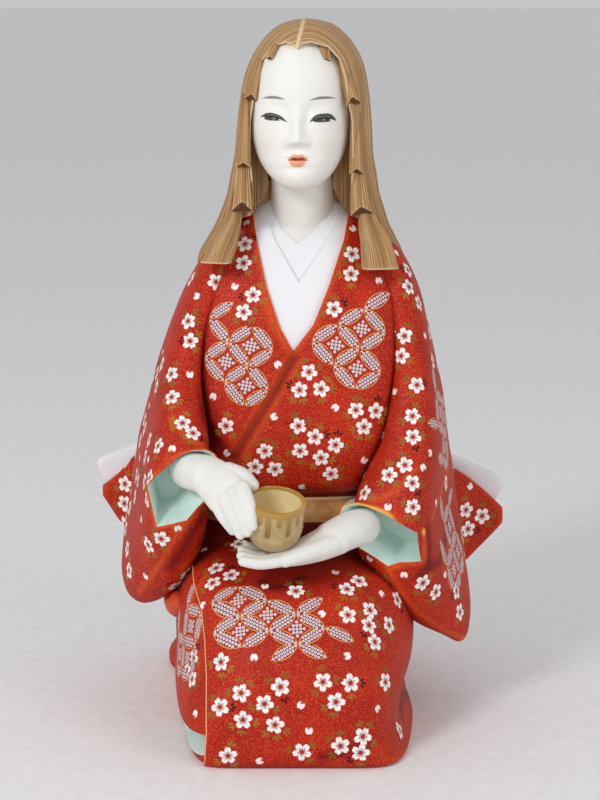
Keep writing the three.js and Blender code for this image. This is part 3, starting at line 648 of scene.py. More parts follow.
RIGHT_MOUTH = np.array([
    [-35.5, -52, 127], [-37.2, -52, 129.6], [-40.6, -52, 131.4], [-45.4, -51.5, 131.3], [-49.8, -51, 129.8],
    [-54.6, -50.5, 126.6], [-58.1, -50, 123.8], [-62.1, -50, 119.8], [-66.3, -50, 114.9], [-62.5, -50, 96.5],
    [-49.5, -50, 99.5], [-40.5, -51, 110],
])
RIGHT_MOUTH_END = np.array([-60, -10, 114.0])
LEFT_MOUTH = np.array([
    [16.8, -49, 102], [19.2, -49, 105.6], [24, -49, 106.6], [29, -49, 105.4], [38, -48.5, 101.5],
    [46, -48, 97.6], [53, -46.5, 93.9], [54.1, -46, 80.6], [44.8, -47, 80.4], [38.6, -48, 78.4],
    [25.8, -49, 86.9], [17, -49, 97],
])
LEFT_MOUTH_END = np.array([52, -10, 92.0])
# How deep the cuff and the hollow of the mouth run, and their size at both ends in shares of the mouth. The
# hollow starts some way in front of the mouth.
CUFF_DEPTH = 30
CUFF_SIZES = 1.06, 0.86
MOUTH_DEPTH = 24
MOUTH_LEAD = -9
MOUTH_END_SIZE = 0.55


def sleeve_rings(rows, sides=140):
    """Level rings: (long u, short v) turned about the height by an angle and set at the ring's own middle."""
    z, x, y, long, short, turn, power = rows.T[:, :, None]
    u, v = unit_ring(sides, power)
    c, s = np.cos(np.radians(turn)), np.sin(np.radians(turn))
    return np.stack([x + long * u * c - short * v * s, y + long * u * s + short * v * c, z + 0 * u], axis=-1)


def subdivided(outline, per_side):
    """Points at equal shares along the sides of a closed outline: p (1 - t) + q t."""
    following = np.roll(outline, -1, axis=0)
    t = np.arange(per_side)[None, :, None] / per_side
    return (outline[:, None] * (1 - t) + following[:, None] * t).reshape(-1, 3)


def sleeve(table, mouth, end):
    """The bag and the cuff melted together, less a taper that runs in from the mouth's own corners."""
    hanging = closed_mesh(sleeve_rings(smooth_rows(table, sleeve_rings)))
    outline = subdivided(mouth, 10)
    middle = mouth.mean(0)
    inward = (end - middle) / np.linalg.norm(end - middle)

    def at(push, size):
        return middle + (outline - middle) * size + inward * push

    cuff = closed_mesh(np.array([at(0, CUFF_SIZES[0]), at(CUFF_DEPTH, CUFF_SIZES[1])]))
    body = blended([hanging, cuff], 1.1, 6)
    hollow = closed_mesh(np.array([at(MOUTH_LEAD, 1), at(0, 1), at(MOUTH_DEPTH, MOUTH_END_SIZE)]), 1)
    return carved(body, hollow, "DIFFERENCE")


sleeves = []
for name, table, mouth, end in (
    ("sleeve_right", RIGHT_ARM_SLEEVE, RIGHT_MOUTH, RIGHT_MOUTH_END),
    ("sleeve_left", LEFT_ARM_SLEEVE, LEFT_MOUTH, LEFT_MOUTH_END),
):
    sleeves.append(piece(name, sleeve(table, mouth, end), [robe_paint, lining_paint]))

# The two flat wings of cloth that stand out behind the sleeves, part of the same casting. Each narrows to a
# rounded tip in front of an end of the white tie.
# Both wings: place across, low and high edge, place in depth, half thickness.
RIGHT_ARM_WING = np.array([
    [-50, 58, 122, 32, 13], [-66, 62, 116.5, 38, 8.5], [-78, 67, 108.5, 44.5, 5.6], [-86, 74, 99.5, 48, 3.8],
    [-92, 82.6, 94, 49.6, 3.2], [-94.8, 86.8, 92, 50.4, 2.6],
])
LEFT_ARM_WING = np.array([
    [50, 44, 118, 32, 13], [66, 47, 106.5, 38, 8.5], [77, 53.5, 99.5, 44.5, 5.6], [86, 61.5, 92, 48, 3.8],
    [94, 69.4, 84.4, 49.8, 3.2], [97.6, 73.4, 80.8, 50.6, 2.6],
])
WING_POWER = 3.2


def wing_rings(rows, sides=72):
    """Upright rings across x: y is the depth plus the half thickness times u, z the middle plus the half
    height times v."""
    x, low, high, y, thick = rows.T[:, :, None]
    u, v = unit_ring(sides, WING_POWER)
    return np.stack([x + 0 * u, y + thick * u, (low + high) / 2 + (high - low) / 2 * v], axis=-1)


wings = []
for side_name, table in (("right", RIGHT_ARM_WING), ("left", LEFT_ARM_WING)):
    rows = through(table, np.linspace(0, len(table) - 1, 60))
    wings.append(piece(f"wing_{side_name}", closed_mesh(wing_rings(rows)), [robe_paint]))

# The painted pattern on the robe: blossoms with their leaves and buds, and groups of crossing rings, all
# brushed on by hand. The front is painted where the eye falls on it, and the sides and the back are filled in
# the same way, a little more sparsely.
EYE = np.array([0, -981.6, 334.1])
PITCH = math.radians(11)
FOCUS = 2200.0
BLOSSOMS = [
    (245, 244), (243.5, 263), (216, 282), (253, 295), (243.5, 312), (188, 321), (190, 341), (171, 374),
    (171.5, 397), (191, 279), (352, 254), (351, 274), (334, 309), (404.5, 336), (401, 356), (417, 385),
    (409, 287), (419, 303), (408, 270), (433, 361), (309, 372), (299.5, 390), (321, 389), (356, 410),
    (376, 411), (412.5, 416), (298.5, 426), (315, 437), (300, 451), (321, 458), (335.5, 445), (331, 474),
    (364, 427), (413, 437), (405, 465), (389, 475), (412.5, 483), (364, 493), (413, 507), (446, 483),
    (466, 510), (482, 516), (468, 529), (423, 583), (436, 592), (456.5, 591), (460, 612), (265, 451),
    (255, 467), (275, 469), (182.5, 423), (193, 433), (149, 440), (158, 446), (145, 457), (226, 426),
    (125, 484), (124.5, 503.5), (148, 545), (161, 539), (127, 549), (129, 570.5), (216, 568), (231, 575),
    (212.5, 583), (187, 573), (175.5, 586), (296, 591), (359, 581), (347, 589), (370, 610), (348, 615),
    (369, 625), (389, 625), (375, 642), (397.5, 599.5), (221, 662), (241, 693), (220, 707), (243, 720),
    (264.5, 704), (280.5, 687), (275, 725), (323, 682), (350.6, 683), (336, 702), (385.6, 682), (400, 730.5),
    (363, 736.5), (340.5, 746), (360.6, 753), (302, 752), (228, 756), (193.6, 658), (192, 679), (187, 670),
    (239, 544),
]
BUDS = [
    (246.5, 223), (235, 286), (196, 296), (278, 365), (190, 374), (213, 397), (274.5, 416.5), (352.5, 228),
    (379, 281), (394.5, 391), (335, 408), (397, 253), (425, 335), (383, 435), (364.5, 460), (430, 453),
    (423.5, 468), (388, 506.5), (436, 503), (302.5, 487), (470, 486), (404, 575.5), (335.5, 572),
    (321.5, 614), (382, 594), (445, 574), (172, 449), (227, 453), (141, 519), (178, 529), (145.5, 576),
    (204, 550), (203, 605), (265, 586), (254, 658), (301, 705), (347, 656), (378, 709), (309, 730.5),
    (195, 714), (260, 761),
]
RING_GROUPS = [
    {
        "origin": (312, 341), "first": (26, -16), "second": (21.4, 23.8),
        "along_first": [(0, 0), (1, 0), (2, 0), (1, 1), (0, 1), (0, 2)],
        "along_second": [(2, 0), (1, 0), (0, 0), (1, 1), (0, 1)],
        "cells": [(1, 0), (0, 0), (0, 1)],
    },
    {
        "origin": (229, 342), "first": (24, -15.5), "second": (19.5, 24),
        "along_first": [(0, -1), (0, 0), (0, 1), (-1, 0), (-1, 1), (-1, 2)],
        "along_second": [(0, -1), (1, 0), (0, 0), (-1, 0), (0, 1), (-1, 1)],
        "cells": [(0, 0), (-1, 0), (-1, 1)],
    },
    {
        "origin": (238, 587), "first": (29, 13.6), "second": (-27, 16.4),
        "along_first": [(0, 0), (0, 1), (1, 0), (1, 1), (1, 2), (2, 0), (2, 1), (3, 0), (3, 1)],
        "along_second": [(0, 0), (1, 0), (2, 0), (1, 1), (2, 1), (2, -1), (3, 0), (3, 1)],
        "cells": [(0, 0), (1, 0), (1, 1), (2, 0)],
    },
]
SIDE_GROUPS = [(443, 430, 20), (452, 548, 70), (184, 640, 80)]
RING_PITCH = 14.2
LONGEST_LENS = 22
DIAMOND_RADIUS = 4.7
LAP_BLOSSOM_RADIUS = 4.25
BLOSSOM_RADIUS = 3.95
BUD_RADIUS = 2.0
SPRIG_RADIUS = 2.7
LATTICE = {
    "along_first": [(0, 0), (-1, 0), (0, 1), (-1, 1), (0, -1), (-1, -1), (1, 0)],
    "along_second": [(0, 0), (1, 0), (-1, 0), (0, -1), (-1, -1), (1, 1)],
    "cells": [(0, 0), (-1, 0), (-1, -1)],
}

robe_pieces = [robe_skirt, robe_panel, robe_fold, robe_train, robe_bodice, *sleeves, *wings]
# The points in millimetres and the faces of each finished piece.
shapes = [
    (array_of(thing.data.vertices, "co") * 1000, [list(polygon.vertices) for polygon in thing.data.polygons])
    for thing in robe_pieces
]
trees = [BVHTree.FromPolygons(points.tolist(), faces) for points, faces in shapes]


def seen(px, py):
    """The first place on the robe along the eye's line through a place of the front view: piece, point,
    normal."""
    line = Vector(((px - 300) / FOCUS, 1.0, (400 - py) / FOCUS))
    line.rotate(Matrix.Rotation(-PITCH, 3, "X"))
    hits = []
    for number, tree in enumerate(trees):
        point, normal, _, distance = tree.ray_cast(Vector(EYE), line.normalized())
        if point is not None:
            hits.append((distance, number, np.array(point), np.array(normal)))
    return min(hits)[1:] if hits else None


motifs = []


def lay(number, point, normal, across, radius, kind, seed=0.0):
    """A motif on a piece: its middle, its two axes along the surface, its radius and its code."""
    u = across - normal * (across @ normal)
    u /= np.linalg.norm(u)
    motifs.append((number, point, u, np.cross(normal, u), normal, radius, kind + 0.98 * (seed % 1.0)))


def axes_on(normal, near):
    """Two axes along a surface, the first square to a given direction and the second close to it."""
    level = np.cross(normal, near)
    level /= np.linalg.norm(level)
    return level, np.cross(level, normal)


def on_surface(number, point):
    """The nearest place on a piece, with its normal."""
    place, normal, _, _ = trees[number].find_nearest(Vector(point))
    return np.array(place), np.array(normal)


def lay_rings(number, nodes, group):
    """Lenses along the lattice's edges and diamonds in its cells, from the places of its nodes."""
    for way, (di, dj) in {"along_first": (1, 0), "along_second": (0, 1)}.items():
        for i, j in group[way]:
            a, b = nodes(i, j), nodes(i + di, j + dj)
            if a is None or b is None:
                continue
            point, normal = on_surface(number, (a + b) / 2)
            length = np.linalg.norm(b - a)
            if length < LONGEST_LENS:
                lay(number, point, normal, b - a, length / 2, 5)
    for i, j in group["cells"]:
        corners = [nodes(i, j), nodes(i + 1, j), nodes(i + 1, j + 1), nodes(i, j + 1)]
        if any(corner is None for corner in corners):
            continue
        point, normal = on_surface(number, sum(corners) / 4)
        lay(number, point, normal, corners[2] - corners[0], DIAMOND_RADIUS, 6)


for group in RING_GROUPS:
    number = seen(*group["origin"])[0]

    def node_of(i, j):
        px, py = np.array(group["origin"]) + i * np.array(group["first"]) + j * np.array(group["second"])
        found = seen(px, py)
        return found[1] if found and found[0] == number else None

    lay_rings(number, node_of, group)


def lattice_nodes(number, point, normal, turn):
    """Nodes of a square lattice in the plane that touches the piece at a point, brought down on to the
    surface."""
    level, up = axes_on(normal, [0, 0, 1.0])
    c, s = math.cos(math.radians(turn)), math.sin(math.radians(turn))

    def node_of(i, j):
        flat = point + RING_PITCH * (i * (c * level + s * up) + j * (c * up - s * level))
        place, way = on_surface(number, flat)
        return place if way @ normal > 0.3 and np.linalg.norm(place - flat) < 9 else None

    return node_of


for px, py, turn in SIDE_GROUPS:
    number, point, normal = seen(px, py)
    lay_rings(number, lattice_nodes(number, point, normal, turn), LATTICE)

blossoms = []
for number, point, normal in filter(None, [seen(px, py) for px, py in BLOSSOMS]):
    blossoms.append((number, point, normal, LAP_BLOSSOM_RADIUS if point[2] < 100 else BLOSSOM_RADIUS))
for index, (px, py) in enumerate(BUDS):
    found = seen(px, py)
    if found:
        across = np.array([math.cos(index * 2.4), 0.1, 0.5 * math.sin(index * 2.4)])
        lay(*found, across, BUD_RADIUS, 2)

# The unseen sides get groups of three blossoms, with a bud between groups. Each group keeps clear of what is
# painted already, and its blossoms and its bud stand round its middle.
GROUP_TRIES = 900
GROUP_CLEAR = 15
GROUP_RADIUS = 5.9
GROUP_BUD_REACH = 12.5
chance = np.random.default_rng(7)
taken = [point for _, point, *_ in blossoms] + [entry[1] for entry in motifs]
for number, (points, faces) in enumerate(shapes):
    polygons = robe_pieces[number].data.polygons
    normals, finish = array_of(polygons, "normal"), array_of(polygons, "material_index", 1, np.int32)
    middles = np.array([points[face].mean(0) for face in faces])
    towards = EYE - middles
    towards /= np.linalg.norm(towards, axis=1)[:, None]
    hidden = (np.einsum("ij,ij->i", towards, normals) < 0.12) & (finish == 0) & (middles[:, 2] > 6)
    for face in chance.permutation(np.nonzero(hidden)[0])[:GROUP_TRIES]:
        point, normal = middles[face], normals[face]
        if min(np.linalg.norm(np.array(taken) - point, axis=1)) < GROUP_CLEAR:
            continue
        level, up = axes_on(normal, [0.3, 0.2, 1.0])
        spin = chance.random() * 2
        for k in range(3):
            a = spin + k * 2.09
            place, way = on_surface(number, point + GROUP_RADIUS * (math.cos(a) * level + math.sin(a) * up))
            if way @ normal > 0.4:
                blossoms.append((number, place, way, BLOSSOM_RADIUS))
                taken.append(place)
        taken.append(point)
        aside = math.cos(spin + 1) * level + math.sin(spin + 1) * up
        place, way = on_surface(number, point + GROUP_BUD_REACH * aside)
        lay(number, place, way, level + up * spin, BUD_RADIUS, 2)

# Up to three sprigs of leaves stand round each blossom, clear of its neighbours and of each other. One of the
# three is dark at every third blossom.
SPRIGS = 3
SPRIG_REACH = 1.52
SPRIG_CLEAR = 5.6
SPRIG_APART = 4.4
centres = np.array([entry[1] for entry in blossoms])
others = np.array([entry[1] for entry in motifs])
sprigs = np.zeros((0, 3))
for index, (number, point, normal, radius) in enumerate(blossoms):
    level, up = axes_on(normal, [0.1, 0.2, 1.0])
    lay(number, point, normal, level, radius, 1, index * 0.381966)
    placed = 0
    for k in range(9):
        a = index * 1.7 + k * 2.4
        way = math.cos(a) * level + math.sin(a) * up
        spot, facing = on_surface(number, point + way * radius * SPRIG_REACH)
        crowd = np.concatenate([np.delete(centres, index, axis=0), others])
        apart = np.linalg.norm(crowd - spot, axis=1)
        near = np.linalg.norm(sprigs - spot, axis=1)
        crowded = apart.min() < SPRIG_CLEAR or (len(near) and near.min() < SPRIG_APART)
        if crowded or facing @ normal < 0.5:
            continue
        dark = placed == 1 and index % 3 == 0
        lay(number, spot, facing, np.cross(way, facing), SPRIG_RADIUS, 4 if dark else 3, index * 0.618)
        sprigs = np.concatenate([sprigs, spot[None]])
        placed += 1
        if placed == SPRIGS:
            break

numbers, middles_of, across_of, up_of, normals_of, radii, codes = [np.array(each) for each in zip(*motifs)]

# How many faces are worked out at a time, and how deep in a motif a face has to lie to take it.
BATCH = 4000
DEEP_ENOUGH = 1.7


def paint_pattern(number):
    """Each face takes the motif that it lies deepest in, and its corners store their place in that motif's
    own axes. The depth is (x / 1.03)^2 + (y / 0.46)^2 for a lens, (|x| + |y|)^2 for a diamond and x^2 + y^2
    for the others, all in shares of the motif's radius."""
    mesh = robe_pieces[number].data
    points, faces = shapes[number]
    count = len(faces)
    normals, centre = array_of(mesh.polygons, "normal"), array_of(mesh.polygons, "center") * 1000
    own = np.nonzero(numbers == number)[0]
    kinds = codes[own].astype(int)
    chosen = np.full(count, -1)
    for low in range(0, count if len(own) else 0, BATCH):
        part = slice(low, low + BATCH)
        offset = centre[part, None] - middles_of[own]
        x = (offset * across_of[own]).sum(2) / radii[own]
        y = (offset * up_of[own]).sum(2) / radii[own]
        depth = np.where(kinds == 5, (x / 1.03) ** 2 + (y / 0.46) ** 2, x**2 + y**2)
        depth = np.where(kinds == 6, (np.abs(x) + np.abs(y)) ** 2, depth)
        apart = (offset**2).sum(2)
        depth[(normals[part] @ normals_of[own].T < 0.15) | (apart > (radii[own] * 1.3 + 0.6) ** 2)] = 9
        best = depth.argmin(1)
        chosen[part] = np.where(depth[np.arange(len(best)), best] < DEEP_ENOUGH, own[best], -1)
    motif = np.repeat(chosen, array_of(mesh.polygons, "loop_total", 1, np.int32))
    offset = points[array_of(mesh.loops, "vertex_index", 1, np.int32)] - middles_of[motif]
    x = (offset * across_of[motif]).sum(1) / radii[motif]
    y = (offset * up_of[motif]).sum(1) / radii[motif]
    values = np.stack([x, y, codes[motif]], axis=1)
    values[motif < 0] = 0
    store(mesh, "motif", values, "CORNER")


# The room round the figure in cells, in millimetres, from which the painted shade and painted highlight on the
# robe are worked out, how far the two blurs of it reach, and about how deep the middle of each kind of form
# lies.
CELL = 2.0
GRID_LOW = np.array([-110.0, -100.0, -16.0])
GRID_COUNTS = 110, 100, 132
REACHES = 2.6, 8.0
BODY_THICK, SLEEVE_THICK, WING_THICK = 40, 14, 6
grid = [GRID_LOW[k] + CELL * np.arange(count) for k, count in enumerate(GRID_COUNTS)]
gx, gy, gz = np.meshgrid(*grid, indexing="ij", sparse=True)


def read_off(table, at, count):
    """The columns of a table after its first, at places between its rows."""
    return [np.interp(at, table[:, 0], table[:, k + 1]) for k in range(count)]


def filled_by(across, along, power, thick):
    """How far each cell lies inside a ring of the given power, 0 outside and 1 inside: r = (|u|^p +
    |v|^p)^(1/p) is 1 on the ring, and (1 - r) times the thickness is about the depth below it."""
    r = (np.abs(across) ** power + np.abs(along) ** power) ** (1 / power)
    return np.clip(0.5 + (1 - r) * thick / CELL, 0, 1)


def filled_body(table):
    """The cells inside a stack of level rings of the body."""
    left, right, front, back, widest, power, taper = read_off(table, gz, 7)
    v = (gy - widest) / np.where(gy < widest, widest - front, back - widest)
    narrow = np.where(v < 0, np.maximum(1 - taper * v * v, 0.2), 1)
    u = (gx - (left + right) / 2) / ((right - left) / 2) / narrow
    return filled_by(u, v, power, BODY_THICK) * (gz > table[0, 0]) * (gz < table[-1, 0])


def filled_sleeve(table):
    """The cells inside the rings of a sleeve, each turned about the height."""
    x, y, long, short, turn, power = read_off(table, gz, 6)
    c, s = np.cos(np.radians(turn)), np.sin(np.radians(turn))
    u = ((gx - x) * c + (gy - y) * s) / long
    v = ((gy - y) * c - (gx - x) * s) / short
    return filled_by(u, v, power, SLEEVE_THICK) * (gz > table[0, 0]) * (gz < table[-1, 0])


def filled_wing(table):
    """The cells inside the upright rings of a wing."""
    table = table[np.argsort(table[:, 0])]
    low, high, y, thick = read_off(table, gx, 4)
    u, v = (gy - y) / thick, (gz - (low + high) / 2) / ((high - low) / 2)
    return filled_by(u, v, WING_POWER, WING_THICK) * (gx > table[0, 0]) * (gx < table[-1, 0])


solid = np.where(gz < 0, 1.0, 0.0)
for filled, tables in (
    (filled_body, (SKIRT, BODY, TRAIN)),
    (filled_sleeve, (RIGHT_ARM_SLEEVE, LEFT_ARM_SLEEVE)),
    (filled_wing, (RIGHT_ARM_WING, LEFT_ARM_WING)),
):
    for table in tables:
        solid = np.maximum(solid, filled(table))
spectrum = np.fft.fftn(solid)
waves = sum(wave**2 for wave in np.meshgrid(*[np.fft.fftfreq(n, CELL) for n in solid.shape], indexing="ij"))
BLURRED = [np.fft.ifftn(spectrum * np.exp(-2 * np.pi**2 * reach**2 * waves)).real for reach in REACHES]


def nearby(points, blurred):
    """How much of the room about each point is solid: the cells blurred by a bell, which is e to the minus
    2 pi^2 w^2 f^2 on their waves, and read between the eight cells round the point."""
    place = (points - GRID_LOW) / CELL
    cell = place.astype(int)
    share = place - cell
    total = np.zeros(len(points))
    for corner in np.ndindex(2, 2, 2):
        weight = np.prod(np.where(corner, share, 1 - share), axis=1)
        total += weight * blurred[tuple((cell + corner).T)]
    return total


# Painted highlight along folds of the cloth that catch the light, and painted shade along creases, as lines of
# the front view.
LIT_FOLDS = [
    [(204, 503), (189, 521), (176, 536), (167, 552), (157, 568), (147, 581), (138, 594)],
    [(389, 571), (406, 598), (421, 615), (444, 631), (463, 638)], [(432, 520), (448, 470), (452, 430)],
    [(237, 534), (216, 540), (199, 550), (184, 566), (178, 588)], [(171, 590), (180, 612), (178, 625)],
    [(213, 566), (196, 590), (185, 622)], [(300, 362), (284, 388), (262, 424), (243, 456)],
    [(263, 262), (265, 290), (268, 312), (272, 323), (279, 336), (285, 346)],
    [(424, 532), (425, 545), (425, 558)], [(389, 570), (404, 563), (422, 562)],
    [(172, 420), (190, 440), (205, 446)], [(372, 500), (395, 492), (415, 470)],
]
SHADED_CREASES = [
    [(262, 583), (275, 588), (290, 586), (301, 579)], [(201, 400), (205, 425), (212, 444)],
    [(206, 512), (192, 532), (183, 549), (170, 568)], [(420, 575), (440, 560), (450, 520)],
    [(293, 358), (279, 384), (268, 402), (250, 430), (235, 454)], [(428, 530), (430, 548), (428, 562)],
    [(213, 430), (224, 448), (232, 458)], [(411, 690), (402, 699), (400, 709), (404, 722)],
    [(322, 757), (345, 752), (366, 744)],
]


def traced(line):
    """The places on the robe under a line of the front view, every few pixels."""
    line = np.array(line, float)
    shares = np.linspace(0, len(line) - 1, 8 * (len(line) - 1) + 1)
    spots = np.column_stack([np.interp(shares, np.arange(len(line)), line[:, k]) for k in (0, 1)])
    found = [seen(px, py) for px, py in spots]
    return [entry[1] for entry in found if entry]


lit = [traced(line) for line in LIT_FOLDS]
dark = [traced(line) for line in SHADED_CREASES]
# The rims of the sleeve mouths, along which painted highlight is laid.
LIT_RIMS = [np.concatenate([mouth, mouth[:1]]) for mouth in (RIGHT_MOUTH, LEFT_MOUTH)]
collar_edge = [*ROBE_EDGE["right"], ROBE_EDGE["point"], *ROBE_EDGE["left"]]
overlap_edge = np.array([ROBE_EDGE["point"], *OVERLAP_EDGE])


def paint_shade_and_highlight(number):
    """Each point stores how deep in a hollow it lies, for painted shade, how much of a ridge it is on, for
    painted highlight with the gilt along one mouth's top edge added, and how far it is from the edge of the
    front panel. The first two come from how much of the room about the point is solid, which is one half on a
    flat surface, more in a hollow and less on an edge, and from the lines of lit folds, shaded folds and rims."""
    mesh = robe_pieces[number].data
    points = shapes[number][0]
    proud = np.full(len(points), PANEL_STEP if robe_pieces[number] is robe_panel else 0.0)
    if robe_pieces[number] is robe_bodice:
        seam = np.interp(points[:, 2], *overlap_edge[::-1, ::-1].T)
        proud = OVERLAP_STEP * (points[:, 0] > seam)
    under = points - proud[:, None] * array_of(mesh.vertices, "normal")
    fine, broad = [nearby(under, blurred) for blurred in BLURRED]
    # Painted shade where the room about a point is more than half solid, and painted highlight where it is
    # less.
    crease_shade = np.clip(5.5 * (fine - 0.56), 0, 1) + np.clip(3.2 * (broad - 0.58), 0, 0.8)
    highlight_and_gilt = np.clip(4.5 * (0.4 - fine), 0, 0.9)
    # Painted highlight along the lit folds of the front view.
    for line in lit:
        highlight_and_gilt = highlight_and_gilt + 0.75 * np.exp(-((apart_from(points, line) / 1.5) ** 2))
    # Painted shade along the shaded creases of the front view.
    for line in dark:
        crease_shade = crease_shade + 0.7 * np.exp(-((apart_from(points, line) / 2.4) ** 2))
    # Painted highlight along the rims of the sleeve mouths, and the gilt along the top of the left mouth.
    for rim in LIT_RIMS:
        highlight_and_gilt = highlight_and_gilt + 0.9 * np.clip(1.4 - apart_from(points, rim) / 1.7, 0, 1)
    gilt = apart_from(points, LEFT_MOUTH[1:7]) / 1.1
    highlight_and_gilt = np.clip(highlight_and_gilt, 0, 1) + np.clip(2.6 - gilt, 0, 1)
    flat = points[:, [0, 2]]
    edging = np.full(len(points), 9.0)
    if robe_pieces[number] is robe_panel:
        edging = np.where(points[:, 1] < -5, apart_from(flat, PANEL_EDGE), 9.0)
    if robe_pieces[number] is robe_bodice:
        near = np.minimum(apart_from(flat, collar_edge), apart_from(flat, overlap_edge))
        # Painted highlight along the collar's edge and the edge of the overlap.
        highlight_and_gilt = np.maximum(highlight_and_gilt, (points[:, 1] < 8) * np.clip(1.0 - near / 2.8, 0, 0.7))
    store(mesh, "relief", np.column_stack([np.clip(crease_shade, 0, 1), highlight_and_gilt, edging]))


for number in range(len(robe_pieces)):
    paint_pattern(number)
    paint_shade_and_highlight(number)

# The tie: a stiff white band, cast across the back over the sash, whose ends stand out past the sleeves, and
# the knot over its middle. Both are painted plain white.
TIE_REACH = 94
TIE_RISE = 112.8
TIE_TILT = -0.052
TIE_DROOP = -0.0027
TIE_HALF_HEIGHT = 11
TIE_HALF_THICKNESS = 3.2
TIE_DEPTH = 51
share = np.linspace(-1, 1, 81)
x = share * TIE_REACH
size = 0.86 + 0.14 * np.sqrt(1 - (1 - np.minimum((1 - np.abs(share)) / 0.05, 1)) ** 2)
stations = np.column_stack(
    [
        x,
        TIE_DEPTH + 4 * share**2,
        TIE_RISE + TIE_TILT * x + TIE_DROOP * x * x,
        TIE_HALF_HEIGHT * size,
        TIE_HALF_THICKNESS * size,
        90 + 0 * x,
    ]
)
piece("tie", closed_mesh(limb_rings(stations, 1, 40, 5, (False, False))), [white_paint])
# KNOT: place, half width, half thickness, turn.
KNOT = np.array([
    [0, 54, 99, 10, 6, 0], [0, 56, 104, 12, 8, 0], [0, 56, 116, 11, 8, 0], [0, 54, 122, 12, 6, 0],
], float)
piece("tie_knot", closed_mesh(limb_rings(KNOT, 8, 40, 3)), [white_paint])

# The head, cast with the body: an egg with the face raised on its front, painted matt white, with the eyes,
# brows and lips brushed on. Its face is calm, with narrow, half-closed eyes.
# HEAD: the columns of SKIRT.
HEAD = np.array([
    [241.5, -5, 5, -25, -13, -19, 2, 0], [243.5, -9.5, 9.5, -28, -6, -16, 2, 0],
    [247, -13.8, 13.8, -29.3, 2, -12.5, 2, 0], [251, -16.8, 16.8, -30, 9, -9.5, 2, 0],
    [253.5, -18.2, 18.2, -30.2, 13, -8, 2.1, 0], [256, -19.4, 19.4, -30.3, 16, -6.5, 2.1, 0],
    [259, -20.5, 20.5, -30.4, 19, -5.2, 2.1, 0], [262, -21.3, 21.3, -30.4, 21.5, -4.2, 2.2, 0],
    [265, -21.9, 21.9, -30.3, 23, -3.3, 2.2, 0], [269, -22.4, 22.4, -30.2, 24.5, -2.4, 2.2, 0],
    [275, -22.8, 22.8, -30.4, 26, -1, 2.2, 0], [284, -22.8, 22.8, -30.8, 27, 0, 2.1, 0],
    [292, -21.6, 21.6, -29.6, 26, 0, 2.1, 0], [299, -18.8, 18.8, -26, 23, 0, 2, 0],
    [305, -14, 14, -20, 18, 0, 2, 0], [310, -6, 6, -10, 9, 0, 2, 0],
])
FACE_MIDDLE = -1.3


# Hills and hollows of the face: how high, where its middle lies beside the nose and in height, how wide and
# how high it is. In turn: the tip and the wings of the nose, the lips and the line between them, the hollows
# over the eyes and beside the nose, the lids, the cheeks, the chin with the hollow above it, and the groove
# over the lips.
HILLS = [
    (1.2, 0, 262.8, 3, 2.4), (1.5, 3.9, 261.9, 1.9, 2), (1.5, -3.9, 261.9, 1.9, 2), (1.5, 0, 256.4, 3.6, 1.2),
    (1.7, 0, 253.3, 3, 1.4), (-1.2, 0, 255.1, 4.6, 0.5), (-1.5, 8.6, 277, 5, 2.8), (-1.5, -8.6, 277, 5, 2.8),
    (-1.5, 4.9, 272.6, 2, 3.6), (-1.5, -4.9, 272.6, 2, 3.6), (1.2, 10.6, 273, 5.2, 2.2),
    (1.2, -10.4, 273.4, 5.2, 2.2), (0.8, 12, 262, 6, 7), (0.8, -12, 262, 6, 7), (1.7, 0, 246.8, 5.5, 3),
    (-1, 0, 250.4, 4.6, 1.3), (-0.5, 0, 259.2, 1.2, 1.6),
]
# The nose: how far it stands out, and the height from which it falls away below.
NOSE_HEIGHT = 3.7
NOSE_FOOT = 263

rows = smooth_rows(HEAD, gap=0.55)
rings = body_rings(rows, 300)
x, y, z = rings[..., 0] - FACE_MIDDLE, rings[..., 1], rings[..., 2]
facing = np.maximum(0, -(y - rows[:, 5:6]) / (rows[:, 5:6] - rows[:, 3:4])) ** 2
bridge = smooth_step(z, 283, 264) * np.where(z < NOSE_FOOT, np.exp(-(((z - NOSE_FOOT) / 2.1) ** 2)), 1)
relief = NOSE_HEIGHT * bridge**1.5 * np.exp(-((x / (2.6 + smooth_step(z, 272, NOSE_FOOT))) ** 2))
for high, *hill in HILLS:
    relief = relief + high * np.exp(-oval(x, z, *hill))
rings[..., 1] -= facing * relief

# The eyes: the middle; the upper edge's height, slope, bend and power; the height, slope and bend of the black
# line under the lashes; the lower edge's height, bend and twist; the iris's middle and half width; the place
# of the painted highlight in the eye. The brows: middle, half width, height, bend and peak.
EYE_HALF = 5.7
EYES = [
    (-11.4, (274.5, -0.9, -2.8, 2.5), (272.9, -0.9, -1.1), (271.4, 0.4, -0.8), (-12.2, 3.2), (-11.3, 272.2)),
    (9.9, (274.4, 0.3, -3.3, 3.5), (272.5, 0.25, -1.5), (270.8, 0.4, 0.1), (9.4, 3.6), (10.2, 271.8)),
]
BROWS = [(-11.4, 5.3, 281.3, 0.03, -11.6), (9.8, 5.9, 281.2, 0.024, 10.6)]
MOUTH_HEIGHT = 254.5


